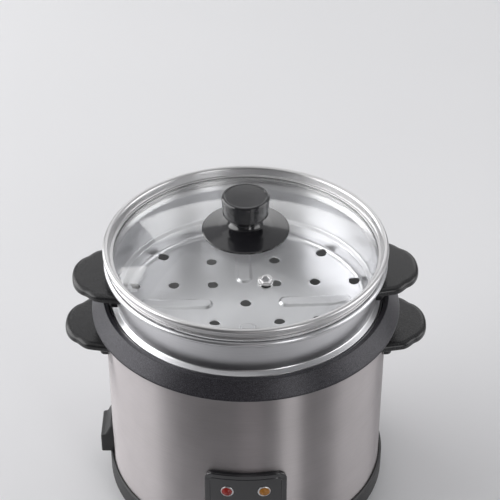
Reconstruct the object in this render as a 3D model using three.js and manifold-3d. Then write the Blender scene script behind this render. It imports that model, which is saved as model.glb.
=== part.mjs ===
// Drum rice cooker: a steel-sleeved heater drum, its pot, a steamer basket and a glass lid.
// Millimetres, +Z up, the table at z = 0, the front towards -Y and the power inlet at -X.
import * as THREE from "three";
import { mergeVertices } from "three/addons/utils/BufferGeometryUtils.js";
import Module from "manifold-3d";

const manifold = await Module();
manifold.setup();

const FULL_TURN = 2 * Math.PI;
const GAP = 0.3; // clearance left between pieces that rest on each other
const FINE = 40; // facets round a large visible turned piece
const COARSE = 32; // facets round a large hidden turned piece
const SMALL = 10; // facets round a screw, pin or small hole
const MEDIUM = 28; // facets round the knob and other turned pieces of its size
const MERGE = 1e-3; // vertices closer than this are one

const SHELL = { radius: 118, wall: 1, bottom: 19.8, top: 189.4 };
const SKIRT = { radius: 121, bottom: 7, top: 26.5, flangeInner: 104, flangeBottom: 9.6, flangeTop: 12.2 };
const BASE = { radius: 112.6, bottom: 8, top: 9.2, slots: 10, slotRadius: 62 };
const FOOT = { count: 4, ring: 88, firstAngle: Math.PI / 4, peg: 3.6, pegHole: 4 };
const BASE_SCREW = { count: 3, ring: 108.6, firstAngle: Math.PI / 2, shank: 1.8, hole: 2.2 };
const RIM = {
  outer: 128.6,
  edge: 183,
  lipOuter: 118.9,
  lipTop: 196.5,
  lipInner: 115,
  seat: 192,
  seatInner: 110.3,
};
const LINER = { radius: 110, wall: 1, floor: 45, floorTop: 46.2, top: 189.7, hole: 19 };
const BAND = { inner: 110.6, outer: 111.8, bottom: 108, top: 138 };
const PLATE = { radius: 86, bottom: 49.5, top: 57.1, hole: 19 };
const ELEMENT = { ring: 68, tube: 3.2, height: 50.4, halfOpening: 0.16, tail: 18 };
const STANDOFF = { count: 3, ring: 42, radius: 5 };
const CAP = { radius: 17.5, top: 57.2, skirt: 47.2, wall: 1.1 };
const HOUSING = { radius: 15.9, wall: 1, floor: 36, top: 52, flange: 25 };
const SPRING = { radius: 12.3, wire: 0.7, bottom: 38.1, top: 55.1, turns: 4 };
const ARMATURE = { rod: 2.4, disc: 9, bottom: 27.8, discBottom: 42.5, discTop: 46 };
const PIVOT = { y: -50, z: 23, pin: 2, bore: 2.1, boss: 4.2 };
const ARM = { halfWidth: 5, front: -106, back: 2, bottom: 25.5, top: 27.5 };
const LEVER = {
  stemBottom: 36,
  stemTop: 41.5,
  legFront: -105.5,
  legBack: -97,
  padZ: 40,
  padInner: -123.2,
  padOuter: -127.8,
};
const PANEL = { inner: 118.3, outer: 121.8, halfWidth: 34, bottom: 27.4, top: 98, corner: 8 };
const LEVER_SLOT = { halfWidth: 7, bottom: 29.2, top: 43.5 };
const LAMP = { offset: 15, z: 80, radius: 3.4, hole: 3.8 };
const INLET = {
  halfWidth: 17,
  outer: 128,
  bottom: 27.2,
  top: 56,
  shelf: 46,
  recessBottom: 29.4,
  recessTop: 44.4,
  recessHalf: 13,
  recessFloor: 114,
  boss: { half: 15.5, bottom: 28, top: 46, inner: 112 },
  windowGap: 0.4,
};
const INLET_PIN = { spacing: 7, z: 36.7, stagger: 1.8, radius: 2.2, hole: 2.5, tip: 124.5, tail: 110.8 };
const HANDLE = { reach: 34.4, thickness: 6.5, edge: 2.2, rootHalf: 38, lugHalf: 25, lugDrop: 17.8 };
const BODY_HANDLE = { top: 163, screwOffset: 14, screwDrop: 6, boreEnd: 127 };
const POT = {
  inner: 105,
  wall: 1.4,
  bottom: 57.5,
  corner: 10,
  flangeRadius: 114,
  flangeBottom: 192.3,
  flangeTop: 193.5,
};
const STEAMER = {
  turn: THREE.MathUtils.degToRad(2.5),
  wall: 108.5,
  lower: 104.2,
  sheet: 1,
  floorTop: 180.8,
};
const STEAMER_BEAD = { radius: 114.2, tube: 2.5, z: 229.5 };
const STEAM_HOLE = {
  radius: 4.5,
  rings: [
    { r: 38, offsets: [0] },
    { r: 66, offsets: [-20.5, 20.5] },
    { r: 97.3, offsets: [-28.8, 0, 28.8] },
  ],
};
const RIB = { inner: 27, outer: 90, halfWidth: 5.5, height: 1.7 };
const STEAMER_HANDLE = { top: 216.5 };
const BRACKET = { halfWidth: 8, leafBottom: 201.5, tabReach: 127, screwX: 121, shank: 1.6, hole: 1.9 };
const GLASS = { edge: 110, domeFoot: 108, footTop: 235.6, apex: 257, thickness: 4, hole: 3.6 };
const LID_BEAD = { radius: 114.5, tube: 2.5, z: 241 };
const KNOB = { discRadius: 35.6, neck: 11.4, baseTop: 271.2, gripTop: 288.5, gripRadius: 19.4, bore: 2.8 };
const VENT = {
  ring: 64,
  angle: THREE.MathUtils.degToRad(-75.7),
  flange: 6.1,
  outer: 4.7,
  inner: 3.6,
  hole: 5,
};

const FINISH = {
  brushedSteel: { color: 0xb9b7b8, roughness: 0.32, metalness: 1 },
  polishedSteel: { color: 0xd6d5d6, roughness: 0.12, metalness: 1 },
  plainSteel: { color: 0x9c9c9e, roughness: 0.45, metalness: 1 },
  satinAluminium: { color: 0xc8c8ca, roughness: 0.38, metalness: 1 },
  castAluminium: { color: 0xa6a7a9, roughness: 0.55, metalness: 1 },
  metallicPlastic: { color: 0x4c4b52, roughness: 0.4, metalness: 0.3 },
  blackPlastic: { color: 0x2b2b2c, roughness: 0.5, metalness: 0 },
  glossPlastic: { color: 0x29282a, roughness: 0.16, metalness: 0 },
  phenolic: { color: 0x38383a, roughness: 0.46, metalness: 0 },
  rubber: { color: 0x1d1d1e, roughness: 0.85, metalness: 0 },
  silicone: { color: 0xd9d8d4, roughness: 0.7, metalness: 0 },
  glass: { color: 0xdfe6e6, roughness: 0.04, metalness: 0, transparent: true, opacity: 0.3 },
  mica: { color: 0xb79a6a, roughness: 0.7, metalness: 0 },
  ceramic: { color: 0xe2ddd0, roughness: 0.6, metalness: 0 },
  brass: { color: 0xc0a050, roughness: 0.35, metalness: 1 },
  redLens: { color: 0xb3261c, roughness: 0.2, metalness: 0 },
  amberLens: { color: 0xd98a1c, roughness: 0.2, metalness: 0 },
};

// ---- solids ----

/** Points along an arc of a profile, from one angle to another in degrees. */
function arc(centreR, centreZ, radius, fromDeg, toDeg, steps) {
  return Array.from({ length: steps + 1 }, (_, i) => {
    const a = THREE.MathUtils.degToRad(fromDeg + ((toDeg - fromDeg) * i) / steps);
    return [centreR + radius * Math.cos(a), centreZ + radius * Math.sin(a)];
  });
}

/** A solid turned about Z from a counter-clockwise [radius, z] outline; a ring's outline is closed here. */
function turned(profile, facets = FINE) {
  const closed = profile[0][0] > 0 ? [...profile, profile[0]] : profile;
  const points = closed.map(([r, z]) => new THREE.Vector2(r, z));
  return new THREE.LatheGeometry(points, facets).rotateX(Math.PI / 2);
}

/** A plain cylinder standing on Z. */
function cylinder(radius, bottom, top, facets = SMALL) {
  const post = new THREE.CylinderGeometry(radius, radius, top - bottom, facets);
  return post.rotateX(Math.PI / 2).translate(0, 0, (bottom + top) / 2);
}

/** A cylinder along X between two x positions. */
function rodAlongX(radius, fromX, toX, y, z, facets = SMALL) {
  return cylinder(radius, fromX, toX, facets).rotateY(Math.PI / 2).translate(0, y, z);
}

/** A block given by its low and high corners. */
function block([x0, y0, z0], [x1, y1, z1]) {
  const made = new THREE.BoxGeometry(x1 - x0, y1 - y0, z1 - z0);
  return made.translate((x0 + x1) / 2, (y0 + y1) / 2, (z0 + z1) / 2);
}

/** A side view drawn as [x, z], carried along Y over both sides of the centre line. */
function sideExtrusion(shape, halfWidth) {
  const made = new THREE.ExtrudeGeometry(shape, {
    depth: 2 * halfWidth,
    bevelEnabled: false,
    curveSegments: 6,
  });
  return made.rotateX(Math.PI / 2).translate(0, halfWidth, 0);
}

/** A closed straight-sided outline as a shape. */
function outline(points) {
  return new THREE.Shape(points.map(([x, y]) => new THREE.Vector2(x, y)));
}

/** A rectangle with round corners, centred on the origin. */
function roundedRectangle(halfX, halfY, corner) {
  const shape = new THREE.Shape();
  shape.absarc(halfX - corner, halfY - corner, corner, 0, Math.PI / 2);
  shape.absarc(corner - halfX, halfY - corner, corner, Math.PI / 2, Math.PI);
  shape.absarc(corner - halfX, corner - halfY, corner, Math.PI, 1.5 * Math.PI);
  shape.absarc(halfX - corner, corner - halfY, corner, 1.5 * Math.PI, FULL_TURN);
  return shape;
}

/** A round wire or tube swept along a path. */
function tube(path, radius, sides, steps) {
  const section = new THREE.Shape().absarc(0, 0, radius, 0, FULL_TURN);
  return new THREE.ExtrudeGeometry(section, {
    steps,
    curveSegments: sides,
    extrudePath: path,
    bevelEnabled: false,
  });
}

/** A geometry as a manifold solid, its coincident vertices merged. */
function solidOf(geometry) {
  const flat = geometry.index ? geometry.toNonIndexed() : geometry;
  const bare = new THREE.BufferGeometry().setAttribute("position", flat.getAttribute("position"));
  const merged = mergeVertices(bare, MERGE);
  return new manifold.Manifold(
    new manifold.Mesh({
      numProp: 3,
      vertProperties: merged.attributes.position.array,
      triVerts: new Uint32Array(merged.index.array),
    }),
  );
}

/** A manifold solid as a plain geometry. */
function geometryOf(solid) {
  const mesh = solid.getMesh();
  const geometry = new THREE.BufferGeometry();
  geometry.setAttribute("position", new THREE.BufferAttribute(mesh.vertProperties, 3));
  geometry.setIndex(new THREE.BufferAttribute(mesh.triVerts, 1));
  return geometry.toNonIndexed();
}

/** The first geometry with every other one taken away. */
function cut(geometry, ...tools) {
  const solids = tools.map((tool) => solidOf(tool));
  return geometryOf(solids.reduce((rest, solid) => rest.subtract(solid), solidOf(geometry)));
}

/** One solid from several that run into each other. */
function join(...geometries) {
  return geometryOf(geometries.map((g) => solidOf(g)).reduce((sum, next) => sum.add(next)));
}

/** The common part of two geometries. */
function common(a, b) {
  return geometryOf(solidOf(a).intersect(solidOf(b)));
}

/** Evenly spaced angles round the axis. */
function roundTheAxis(count, firstAngle = 0) {
  return Array.from({ length: count }, (_, i) => firstAngle + (FULL_TURN * i) / count);
}

function onRing(ring, angle) {
  return [ring * Math.cos(angle), ring * Math.sin(angle)];
}

/** Adds a named piece to a group. */
function piece(group, name, geometry, finish) {
  const material = new THREE.MeshStandardMaterial(finish);
  geometry.computeVertexNormals();
  const mesh = new THREE.Mesh(geometry, material);
  mesh.name = name;
  group.add(mesh);
  return mesh;
}

/** A pan-head screw pointing up, the underside of its head at z = 0. */
function panScrew(headRadius, headHeight, shank, length) {
  const driver = block([-headRadius, -0.4, -headHeight - 1], [headRadius, 0.4, -headHeight + 0.8]);
  const blank = turned(
    [
      [0, -headHeight],
      [headRadius * 0.7, -headHeight],
      [headRadius, -headHeight * 0.4],
      [headRadius, 0],
      [shank, 0],
      [shank, length - shank],
      [shank * 0.4, length],
      [0, length],
    ],
    SMALL,
  );
  return cut(blank, driver);
}

// ---- drum ----

function outerShell() {
  const { radius, wall, bottom, top } = SHELL;
  const sleeve = turned([[radius - wall, bottom], [radius, bottom], [radius, top], [radius - wall, top]]);
  const leverSlot = block(
    [-LEVER_SLOT.halfWidth, -radius - 5, LEVER_SLOT.bottom],
    [LEVER_SLOT.halfWidth, -radius + 8, LEVER_SLOT.top],
  );
  const lampHoles = [-LAMP.offset, LAMP.offset].map((x) =>
    cylinder(LAMP.hole, 108, 124).rotateX(Math.PI / 2).translate(x, 0, LAMP.z),
  );
  const { boss, windowGap } = INLET;
  const inletWindow = block(
    [-radius - 5, -boss.half - windowGap, boss.bottom - windowGap],
    [-radius + 8, boss.half + windowGap, boss.top + windowGap],
  );
  const handleHoles = handleScrewSpots().map(([side, y, z]) =>
    rodAlongX(2.3, Math.min(side * 110, side * 124), Math.max(side * 110, side * 124), y, z),
  );
  return cut(sleeve, leverSlot, inletWindow, ...lampHoles, ...handleHoles);
}

/** Where the body handles are screwed on, as [side, y, z]. */
function handleScrewSpots() {
  const z = BODY_HANDLE.top - BODY_HANDLE.screwDrop;
  return [-1, 1].flatMap((side) => [-1, 1].map((end) => [side, end * BODY_HANDLE.screwOffset, z]));
}

function baseSkirt() {
  const { radius, bottom, top, flangeInner, flangeBottom, flangeTop } = SKIRT;
  const ring = turned([
    [flangeInner, flangeBottom],
    [116, flangeBottom],
    [117, bottom],
    [radius - 1.6, bottom],
    [radius, bottom + 2],
    [radius, top - 1.5],
    [radius - 1.2, top],
    [SHELL.radius + 0.5, top],
    [SHELL.radius + 0.5, SHELL.bottom - GAP],
    [SHELL.radius - SHELL.wall - 0.6, SHELL.bottom - GAP],
    [SHELL.radius - SHELL.wall - 0.6, top],
    [113.8, top],
    [113.8, flangeTop],
    [flangeInner, flangeTop],
  ]);
  const screwHoles = roundTheAxis(BASE_SCREW.count, BASE_SCREW.firstAngle).map((a) =>
    cylinder(BASE_SCREW.hole, 5, 20).translate(...onRing(BASE_SCREW.ring, a), 0),
  );
  return cut(ring, ...screwHoles);
}

function basePlate() {
  const { radius, bottom, top, slots, slotRadius } = BASE;
  const disc = turned([[0, bottom], [radius, bottom], [radius, top], [0, top]], COARSE);
  const vents = roundTheAxis(slots, Math.PI / slots).map((a) =>
    block([slotRadius - 12, -2, bottom - 2], [slotRadius + 12, 2, top + 2]).rotateZ(a),
  );
  const pegHoles = roundTheAxis(FOOT.count, FOOT.firstAngle).map((a) =>
    cylinder(FOOT.pegHole, bottom - 2, top + 2).translate(...onRing(FOOT.ring, a), 0),
  );
  const screwHoles = roundTheAxis(BASE_SCREW.count, BASE_SCREW.firstAngle).map((a) =>
    cylinder(BASE_SCREW.hole, bottom - 2, top + 2).translate(...onRing(BASE_SCREW.ring, a), 0),
  );
  return cut(disc, ...vents, ...pegHoles, ...screwHoles);
}

/** A push-in rubber foot whose barb holds it above the base plate. */
function foot() {
  const seat = BASE.bottom - GAP;
  return turned(
    [
      [0, 0],
      [8.5, 0],
      [9.6, 1.2],
      [10.6, seat],
      [FOOT.peg, seat],
      [FOOT.peg, BASE.top + GAP],
      [FOOT.peg + 1.2, BASE.top + GAP],
      [3, 12.4],
      [0, 12.4],
    ],
    SMALL,
  );
}

function rimRing() {
  const { outer, edge, lipOuter, lipTop, lipInner, seat, seatInner } = RIM;
  const groove = {
    inner: SHELL.radius - SHELL.wall - 0.5,
    outer: SHELL.radius + 0.5,
    top: SHELL.top + GAP,
  };
  return turned([
    [outer - 0.8, edge - 0.8],
    [outer, edge],
    [outer - 0.4, edge + 1.2],
    [lipOuter, lipTop],
    [lipInner + 0.6, lipTop],
    [lipInner, lipTop - 0.6],
    [lipInner, seat],
    [seatInner, seat],
    [seatInner, seat - 1.9],
    [groove.inner - 1.6, seat - 1.9],
    [groove.inner - 1.6, 181],
    [groove.inner, 181],
    [groove.inner, groove.top],
    [groove.outer, groove.top],
    [groove.outer, 185],
    [groove.outer + 1.6, 185],
    [groove.outer + 1.6, 191.2],
    [outer - 2.2, edge + 0.6],
  ]);
}

function innerLiner() {
  const { radius, wall, floor, floorTop, top, hole } = LINER;
  const inner = radius - wall;
  const can = turned(
    [
      [hole, floor],
      [radius - 3, floor],
      [radius, floor + 3],
      [radius, top - wall],
      [113.3, top - wall],
      [113.3, top],
      [inner, top],
      [inner, floor + 3.6],
      [inner - 2.4, floorTop],
      [hole, floorTop],
    ],
    COARSE,
  );
  return cut(can, ...elementTailHoles());
}

/** Holes in the liner's floor for the two ends of the element. */
function elementTailHoles() {
  return [-1, 1].map((end) => {
    const [x, y] = onRing(ELEMENT.ring, Math.PI / 2 + end * ELEMENT.halfOpening);
    return cylinder(ELEMENT.tube + 1.2, LINER.floor - 2, LINER.floorTop + 2).translate(x, y, 0);
  });
}

function keepWarmBand() {
  const { inner, outer, bottom, top } = BAND;
  return turned([[inner, bottom], [outer, bottom], [outer, top], [inner, top]], COARSE);
}

/** The element's centre line: up one tail, round the ring, and down the other. */
function elementPath() {
  const first = Math.PI / 2 + ELEMENT.halfOpening;
  const sweep = FULL_TURN - 2 * ELEMENT.halfOpening;
  const turns = 28;
  const ring = Array.from({ length: turns + 1 }, (_, i) => {
    const [x, y] = onRing(ELEMENT.ring, first + (sweep * i) / turns);
    return new THREE.Vector3(x, y, ELEMENT.height);
  });
  const tailAt = (end) => {
    const [x, y] = onRing(ELEMENT.ring, Math.PI / 2 + end * ELEMENT.halfOpening);
    return new THREE.Vector3(x, y, ELEMENT.height - ELEMENT.tail);
  };
  return new THREE.CatmullRomCurve3([tailAt(1), ...ring, tailAt(-1)], false, "centripetal");
}

function heatingElement(radius = ELEMENT.tube) {
  return tube(elementPath(), radius, 3, 40);
}

function heatingPlate() {
  const { radius, bottom, top, hole } = PLATE;
  const disc = turned(
    [
      [hole, bottom],
      [radius - 2, bottom],
      [radius, bottom + 2],
      [radius, top - 3],
      [radius - 4, top - 0.4],
      [hole + 1, top],
      [hole, top - 1],
    ],
    COARSE,
  );
  return cut(disc, heatingElement(ELEMENT.tube + 0.5));
}

function plateStandoff() {
  return cylinder(STANDOFF.radius, LINER.floorTop + GAP, PLATE.bottom - GAP);
}

// ---- thermostat and lever ----

function sensorHousing() {
  const { radius, wall, floor, top, flange } = HOUSING;
  const inner = radius - wall;
  return turned(
    [
      [ARMATURE.rod + 0.8, floor],
      [radius, floor],
      [radius, 43.4],
      [flange, 43.4],
      [flange, LINER.floor - GAP],
      [radius, LINER.floor - GAP],
      [radius, top],
      [inner, top],
      [inner, floor + 1.2],
      [ARMATURE.rod + 0.8, floor + 1.2],
    ],
    20,
  );
}

function sensorCap() {
  const { radius, top, skirt, wall } = CAP;
  return turned(
    [
      [0, top - wall],
      [radius - wall, top - wall],
      [radius - wall, skirt],
      [radius, skirt],
      [radius, top - 1],
      [radius - 1, top],
      [0, top],
    ],
    20,
  );
}

/** A helix about Z. */
class Helix extends THREE.Curve {
  constructor(radius, bottom, top, turns) {
    super();
    Object.assign(this, { radius, bottom, top, turns });
  }

  getPoint(t, target = new THREE.Vector3()) {
    const a = FULL_TURN * this.turns * t;
    return target.set(
      this.radius * Math.cos(a),
      this.radius * Math.sin(a),
      THREE.MathUtils.lerp(this.bottom, this.top, t),
    );
  }
}

function sensorSpring() {
  const { radius, wire, bottom, top, turns } = SPRING;
  return tube(new Helix(radius, bottom, top, turns), wire, 2, turns * 10);
}

function magnetArmature() {
  const { rod, disc, bottom, discBottom, discTop } = ARMATURE;
  return turned(
    [
      [0, bottom],
      [1.5, bottom],
      [rod, bottom + 1],
      [rod, discBottom],
      [disc, discBottom],
      [disc, discTop],
      [0, discTop],
    ],
    16,
  );
}

function linkArm() {
  const strip = block([-ARM.halfWidth, ARM.front, ARM.bottom], [ARM.halfWidth, ARM.back, ARM.top]);
  const boss = rodAlongX(PIVOT.boss, -ARM.halfWidth, ARM.halfWidth, PIVOT.y, PIVOT.z);
  const bore = rodAlongX(PIVOT.bore, -20, 20, PIVOT.y, PIVOT.z);
  return cut(join(strip, boss), bore);
}

function leverBracket() {
  const inner = ARM.halfWidth + 0.8;
  const outer = inner + 1.5;
  const tray = block([-outer, PIVOT.y - 9, BASE.top + GAP], [outer, PIVOT.y + 9, BASE.top + GAP + 1.5]);
  const ears = [-outer, inner].map((x) =>
    block([x, PIVOT.y - 6, BASE.top + GAP], [x + outer - inner, PIVOT.y + 6, PIVOT.z + 6]),
  );
  return cut(join(tray, ...ears), rodAlongX(PIVOT.bore, -20, 20, PIVOT.y, PIVOT.z));
}

function pivotPin() {
  return rodAlongX(PIVOT.pin, -10, 10, PIVOT.y, PIVOT.z);
}

/** The cook lever: a finger pad outside, a stem through the slot, and a leg down to the link arm. */
function cookLever() {
  const { stemBottom, stemTop, legFront, legBack, padZ, padInner, padOuter } = LEVER;
  const leg = block([-5, legFront, ARM.top + GAP], [5, legBack, stemTop]);
  const stem = block([-5, padInner - 1, stemBottom], [5, legBack, stemTop]);
  const pad = new THREE.ExtrudeGeometry(roundedRectangle(16, 7.5, 4), {
    depth: padInner - padOuter - 2,
    bevelThickness: 1,
    bevelSize: 1,
    bevelOffset: -1,
    bevelSegments: 1,
    curveSegments: 3,
  });
  pad.rotateX(Math.PI / 2).translate(0, padInner - 1, padZ);
  return join(leg, stem, pad);
}

function microSwitch() {
  const body = block([-3.2, -92, BASE.top + GAP], [3.2, -72, 17.4]);
  const plunger = cylinder(1.3, 16, 20.4).translate(0, -86, 0);
  return join(body, plunger);
}

function thermalFuse() {
  return cylinder(3, 0, 26).rotateX(Math.PI / 2).translate(40, 30, LINER.floor - GAP - 3.1);
}

function terminalBlock() {
  const body = block([-78, -20, BASE.top + GAP], [-64, 20, 23]);
  const wireHoles = [-12, 0, 12].map((y) => rodAlongX(2.4, -90, -50, y, 17));
  return cut(body, ...wireHoles);
}

// ---- front panel and inlet ----

function controlPanel() {
  const { inner, outer, halfWidth, bottom, top, corner } = PANEL;
  const sleeve = turned([[inner, bottom], [outer, bottom], [outer, top], [inner, top]], 120);
  const face = new THREE.ExtrudeGeometry(roundedRectangle(halfWidth, (top - bottom) / 2, corner), {
    depth: 60,
    bevelEnabled: false,
    curveSegments: 5,
  });
  face.rotateX(Math.PI / 2).translate(0, -80, (top + bottom) / 2);
  const leverSlot = block(
    [-LEVER_SLOT.halfWidth, -outer - 5, LEVER_SLOT.bottom],
    [LEVER_SLOT.halfWidth, -inner + 8, LEVER_SLOT.top],
  );
  const lampHoles = [-LAMP.offset, LAMP.offset].map((x) =>
    cylinder(LAMP.hole, 110, 126).rotateX(Math.PI / 2).translate(x, 0, LAMP.z),
  );
  return cut(common(sleeve, face), leverSlot, ...lampHoles);
}

/** A round lamp lens pointing at -Y. */
function lampLens() {
  const lens = turned(
    [
      [0, 113],
      [LAMP.radius, 113],
      [LAMP.radius, 121.8],
      [LAMP.radius * 0.6, 123],
      [0, 123.4],
    ],
    SMALL,
  );
  return lens.rotateX(Math.PI / 2);
}

/** The moulded inlet: a hood that leans out from the shell, a boss through its wall and a plug recess. */
function inletHousing() {
  const { halfWidth, outer, bottom, top, shelf, recessBottom, recessTop, recessHalf, recessFloor } = INLET;
  const root = SHELL.radius + 1.5;
  const slope = [[-root, top], [-root - 4.5, shelf + 1], [-outer, shelf]];
  const face = [[-outer, bottom], [-110, bottom], [-110, top], ...slope];
  const hood = sideExtrusion(outline(face), halfWidth);
  const shellSpace = cylinder(SHELL.radius + 0.35, 0, 120, FINE);
  const { half, bottom: bossBottom, top: bossTop, inner } = INLET.boss;
  const boss = block([-root, -half, bossBottom], [-inner, half, bossTop]);
  const recess = block([-outer - 5, -recessHalf, recessBottom], [-recessFloor, recessHalf, recessTop]);
  const pinHoles = inletPinSpots().map(([y, z]) => rodAlongX(INLET_PIN.hole, -recessFloor - 5, -100, y, z));
  return cut(join(cut(hood, shellSpace), boss), recess, ...pinHoles);
}

/** The three contact pins, the middle one set higher. */
function inletPinSpots() {
  const { spacing, z, stagger } = INLET_PIN;
  return [-1, 0, 1].map((k) => [k * spacing, z + (k === 0 ? stagger : -stagger)]);
}

// ---- handles ----

/** The side handle moulding for a wall of the given radius, its flat top at z = 0, pointing at +X. */
function handleMoulding(wallRadius) {
  const { reach, thickness, edge, rootHalf, lugHalf, lugDrop } = HANDLE;
  const plan = new THREE.Shape();
  plan.moveTo(-9, -rootHalf);
  plan.bezierCurveTo(-1, -35.8, 6, -35, 12, -33.6);
  plan.bezierCurveTo(18, -32.2, 20.5, -27, 23.6, -24.6);
  plan.bezierCurveTo(29, -22, reach - 0.4, -14, reach, -4);
  plan.quadraticCurveTo(reach + 0.4, 0, reach, 4);
  plan.bezierCurveTo(reach - 0.4, 14, 29, 22, 23.6, 24.6);
  plan.bezierCurveTo(20.5, 27, 18, 32.2, 12, 33.6);
  plan.bezierCurveTo(6, 35, -1, 35.8, -9, rootHalf);
  const plate = new THREE.ExtrudeGeometry(plan, {
    depth: thickness - 2 * edge,
    bevelThickness: edge,
    bevelSize: edge,
    bevelOffset: -edge,
    bevelSegments: 2,
    curveSegments: 5,
  });
  plate.translate(wallRadius, 0, edge - thickness);
  const side = new THREE.Shape();
  side.moveTo(-9, -2.5);
  side.lineTo(15, -2.5);
  side.lineTo(14, -6);
  side.quadraticCurveTo(6, -7.5, 4.6, -lugDrop + 1.5);
  side.lineTo(2.8, -lugDrop);
  side.lineTo(-9, -lugDrop);
  const lug = sideExtrusion(side, lugHalf).translate(wallRadius, 0, 0);
  return cut(join(plate, lug), cylinder(wallRadius + 0.35, -30, 10, FINE));
}

function bodyHandle() {
  const bores = [-1, 1].map((end) =>
    rodAlongX(1.9, 110, BODY_HANDLE.boreEnd, end * BODY_HANDLE.screwOffset, -BODY_HANDLE.screwDrop),
  );
  return cut(handleMoulding(SHELL.radius), ...bores);
}

function bodyHandleScrew() {
  return panScrew(3.6, 2.2, 1.6, 11).rotateY(Math.PI / 2).translate(115.2, 0, 0);
}

/** The pressed bracket that carries a steamer handle: a leaf on the wall and a tab under the plate. */
function handleBracket() {
  const { halfWidth, leafBottom, tabReach } = BRACKET;
  const inner = STEAMER.wall + 0.35;
  const tabTop = STEAMER_HANDLE.top - HANDLE.thickness - GAP;
  const half = halfWidth;
  const leaf = block([inner, -half, leafBottom], [inner + 1.4, half, tabTop]);
  const tab = block([inner, -half, tabTop - 1.4], [tabReach, half, tabTop]);
  return join(leaf, tab);
}

function steamerBracket() {
  return cut(handleBracket(), cylinder(BRACKET.hole, 195, 220).translate(BRACKET.screwX, 0, 0));
}

function steamerHandle() {
  const moulding = handleMoulding(STEAMER.wall).translate(0, 0, STEAMER_HANDLE.top);
  const underside = STEAMER_HANDLE.top - HANDLE.thickness;
  const bayHalf = BRACKET.halfWidth + 0.6;
  const bay = block([100, -bayHalf, 190], [BRACKET.tabReach + 0.6, bayHalf, underside]);
  const bore = cylinder(BRACKET.hole, 195, STEAMER_HANDLE.top - 1.6).translate(BRACKET.screwX, 0, 0);
  return cut(moulding, bay, bore);
}

function steamerHandleScrew() {
  const seat = STEAMER_HANDLE.top - HANDLE.thickness - GAP - 1.4 - GAP;
  return panScrew(3.4, 2, BRACKET.shank, 6.4).translate(BRACKET.screwX, 0, seat);
}

// ---- pot, steamer and lid ----

function innerPot() {
  const { inner, wall, bottom, corner, flangeRadius, flangeBottom, flangeTop } = POT;
  const outer = inner + wall;
  return turned(
    [
      [0, bottom],
      ...arc(outer - corner, bottom + corner, corner, -90, 0, 4),
      [outer, flangeBottom - 1],
      [outer + 1.2, flangeBottom],
      [flangeRadius, flangeBottom],
      [flangeRadius, flangeTop],
      [outer + 0.6, flangeTop],
      [inner, flangeTop - 1.8],
      ...arc(outer - corner, bottom + corner, corner - wall, 0, -90, 4),
      [0, bottom + wall],
    ],
    COARSE,
  );
}

/** The steamer's sheet: a floor, a lower wall inside the pot, a ledge over its rim, a wall and a bead. */
function steamerSheet() {
  const { wall, lower, sheet, floorTop } = STEAMER;
  const floor = floorTop - sheet;
  const ledge = POT.flangeTop + GAP;
  return turned([
    [0, floor],
    [lower - 4.5, floor],
    [lower - 1.3, floor + 1.3],
    [lower, floor + 4.5],
    [lower, ledge],
    [112.6, ledge],
    [113.2, ledge + 0.8],
    [112.4, ledge + 2.2],
    [wall, ledge + 4.6],
    [wall, 223],
    [109.8, 225.6],
    ...arc(STEAMER_BEAD.radius, STEAMER_BEAD.z, STEAMER_BEAD.tube, -110, 190, 6),
    [109.2, 227],
    [wall - sheet, 224],
    [wall - sheet, ledge + 2.4],
    [lower - sheet, ledge + 1],
    [lower - sheet, floor + 4.9],
    [lower - sheet - 1.1, floor + 2.1],
    [lower - 4.9, floorTop],
    [0, floorTop],
  ]);
}

function steamHoles() {
  const angles = roundTheAxis(4, Math.PI / 4);
  const spots = angles.flatMap((quarter) =>
    STEAM_HOLE.rings.flatMap(({ r, offsets }) =>
      offsets.map((offset) => onRing(r, quarter + THREE.MathUtils.degToRad(offset))),
    ),
  );
  return [[0, 0], ...spots].map(([x, y]) => cylinder(STEAM_HOLE.radius, 175, 190).translate(x, y, 0));
}

/** A raised rib of the steamer's floor, lying along +X. */
function floorRib() {
  const { inner, outer, halfWidth, height } = RIB;
  const plan = roundedRectangle((outer - inner) / 2, halfWidth, halfWidth - 0.6);
  const crown = new THREE.ExtrudeGeometry(plan, {
    depth: 0.5,
    bevelThickness: height,
    bevelSize: 2.4,
    bevelOffset: -2.4,
    bevelSegments: 2,
    curveSegments: 2,
  });
  return crown.translate((inner + outer) / 2, 0, STEAMER.floorTop - 0.5);
}

function steamerBasket() {
  const ribs = roundTheAxis(4).map((a) => floorRib().rotateZ(a));
  return cut(join(steamerSheet(), ...ribs), ...steamHoles());
}

/** Height of the dome's outer face at a radius; a positive depth measures below that face. */
function domeHeight(radius, depth = 0) {
  const rise = GLASS.apex - GLASS.footTop;
  const sphere = (GLASS.domeFoot ** 2 + rise ** 2) / (2 * rise);
  return GLASS.apex - sphere + Math.sqrt((sphere - depth) ** 2 - radius ** 2);
}

/** The tilt of the dome's normal from Z at the vent. */
function ventTilt() {
  const step = 0.5;
  return Math.atan((domeHeight(VENT.ring - step) - domeHeight(VENT.ring + step)) / (2 * step));
}

/** Turns a geometry made about Z at the dome's face into place at the vent. */
function placeAtVent(geometry) {
  const [x, y] = onRing(VENT.ring, VENT.angle);
  return geometry.rotateY(ventTilt()).rotateZ(VENT.angle).translate(x, y, domeHeight(VENT.ring));
}

function lidGlass() {
  const steps = 5;
  const { edge, domeFoot, footTop, thickness, hole } = GLASS;
  const radii = Array.from({ length: steps + 1 }, (_, i) => (domeFoot * (steps - i)) / steps);
  const footBottom = domeHeight(domeFoot, thickness);
  const dome = turned([
    ...radii.toReversed().map((r) => [r, domeHeight(r, thickness)]),
    [edge, footBottom],
    [edge, footTop],
    ...radii.map((r) => [r, domeHeight(r)]),
  ]);
  return cut(dome, cylinder(hole, 240, 270), placeAtVent(cylinder(VENT.hole, -12, 12)));
}

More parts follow.
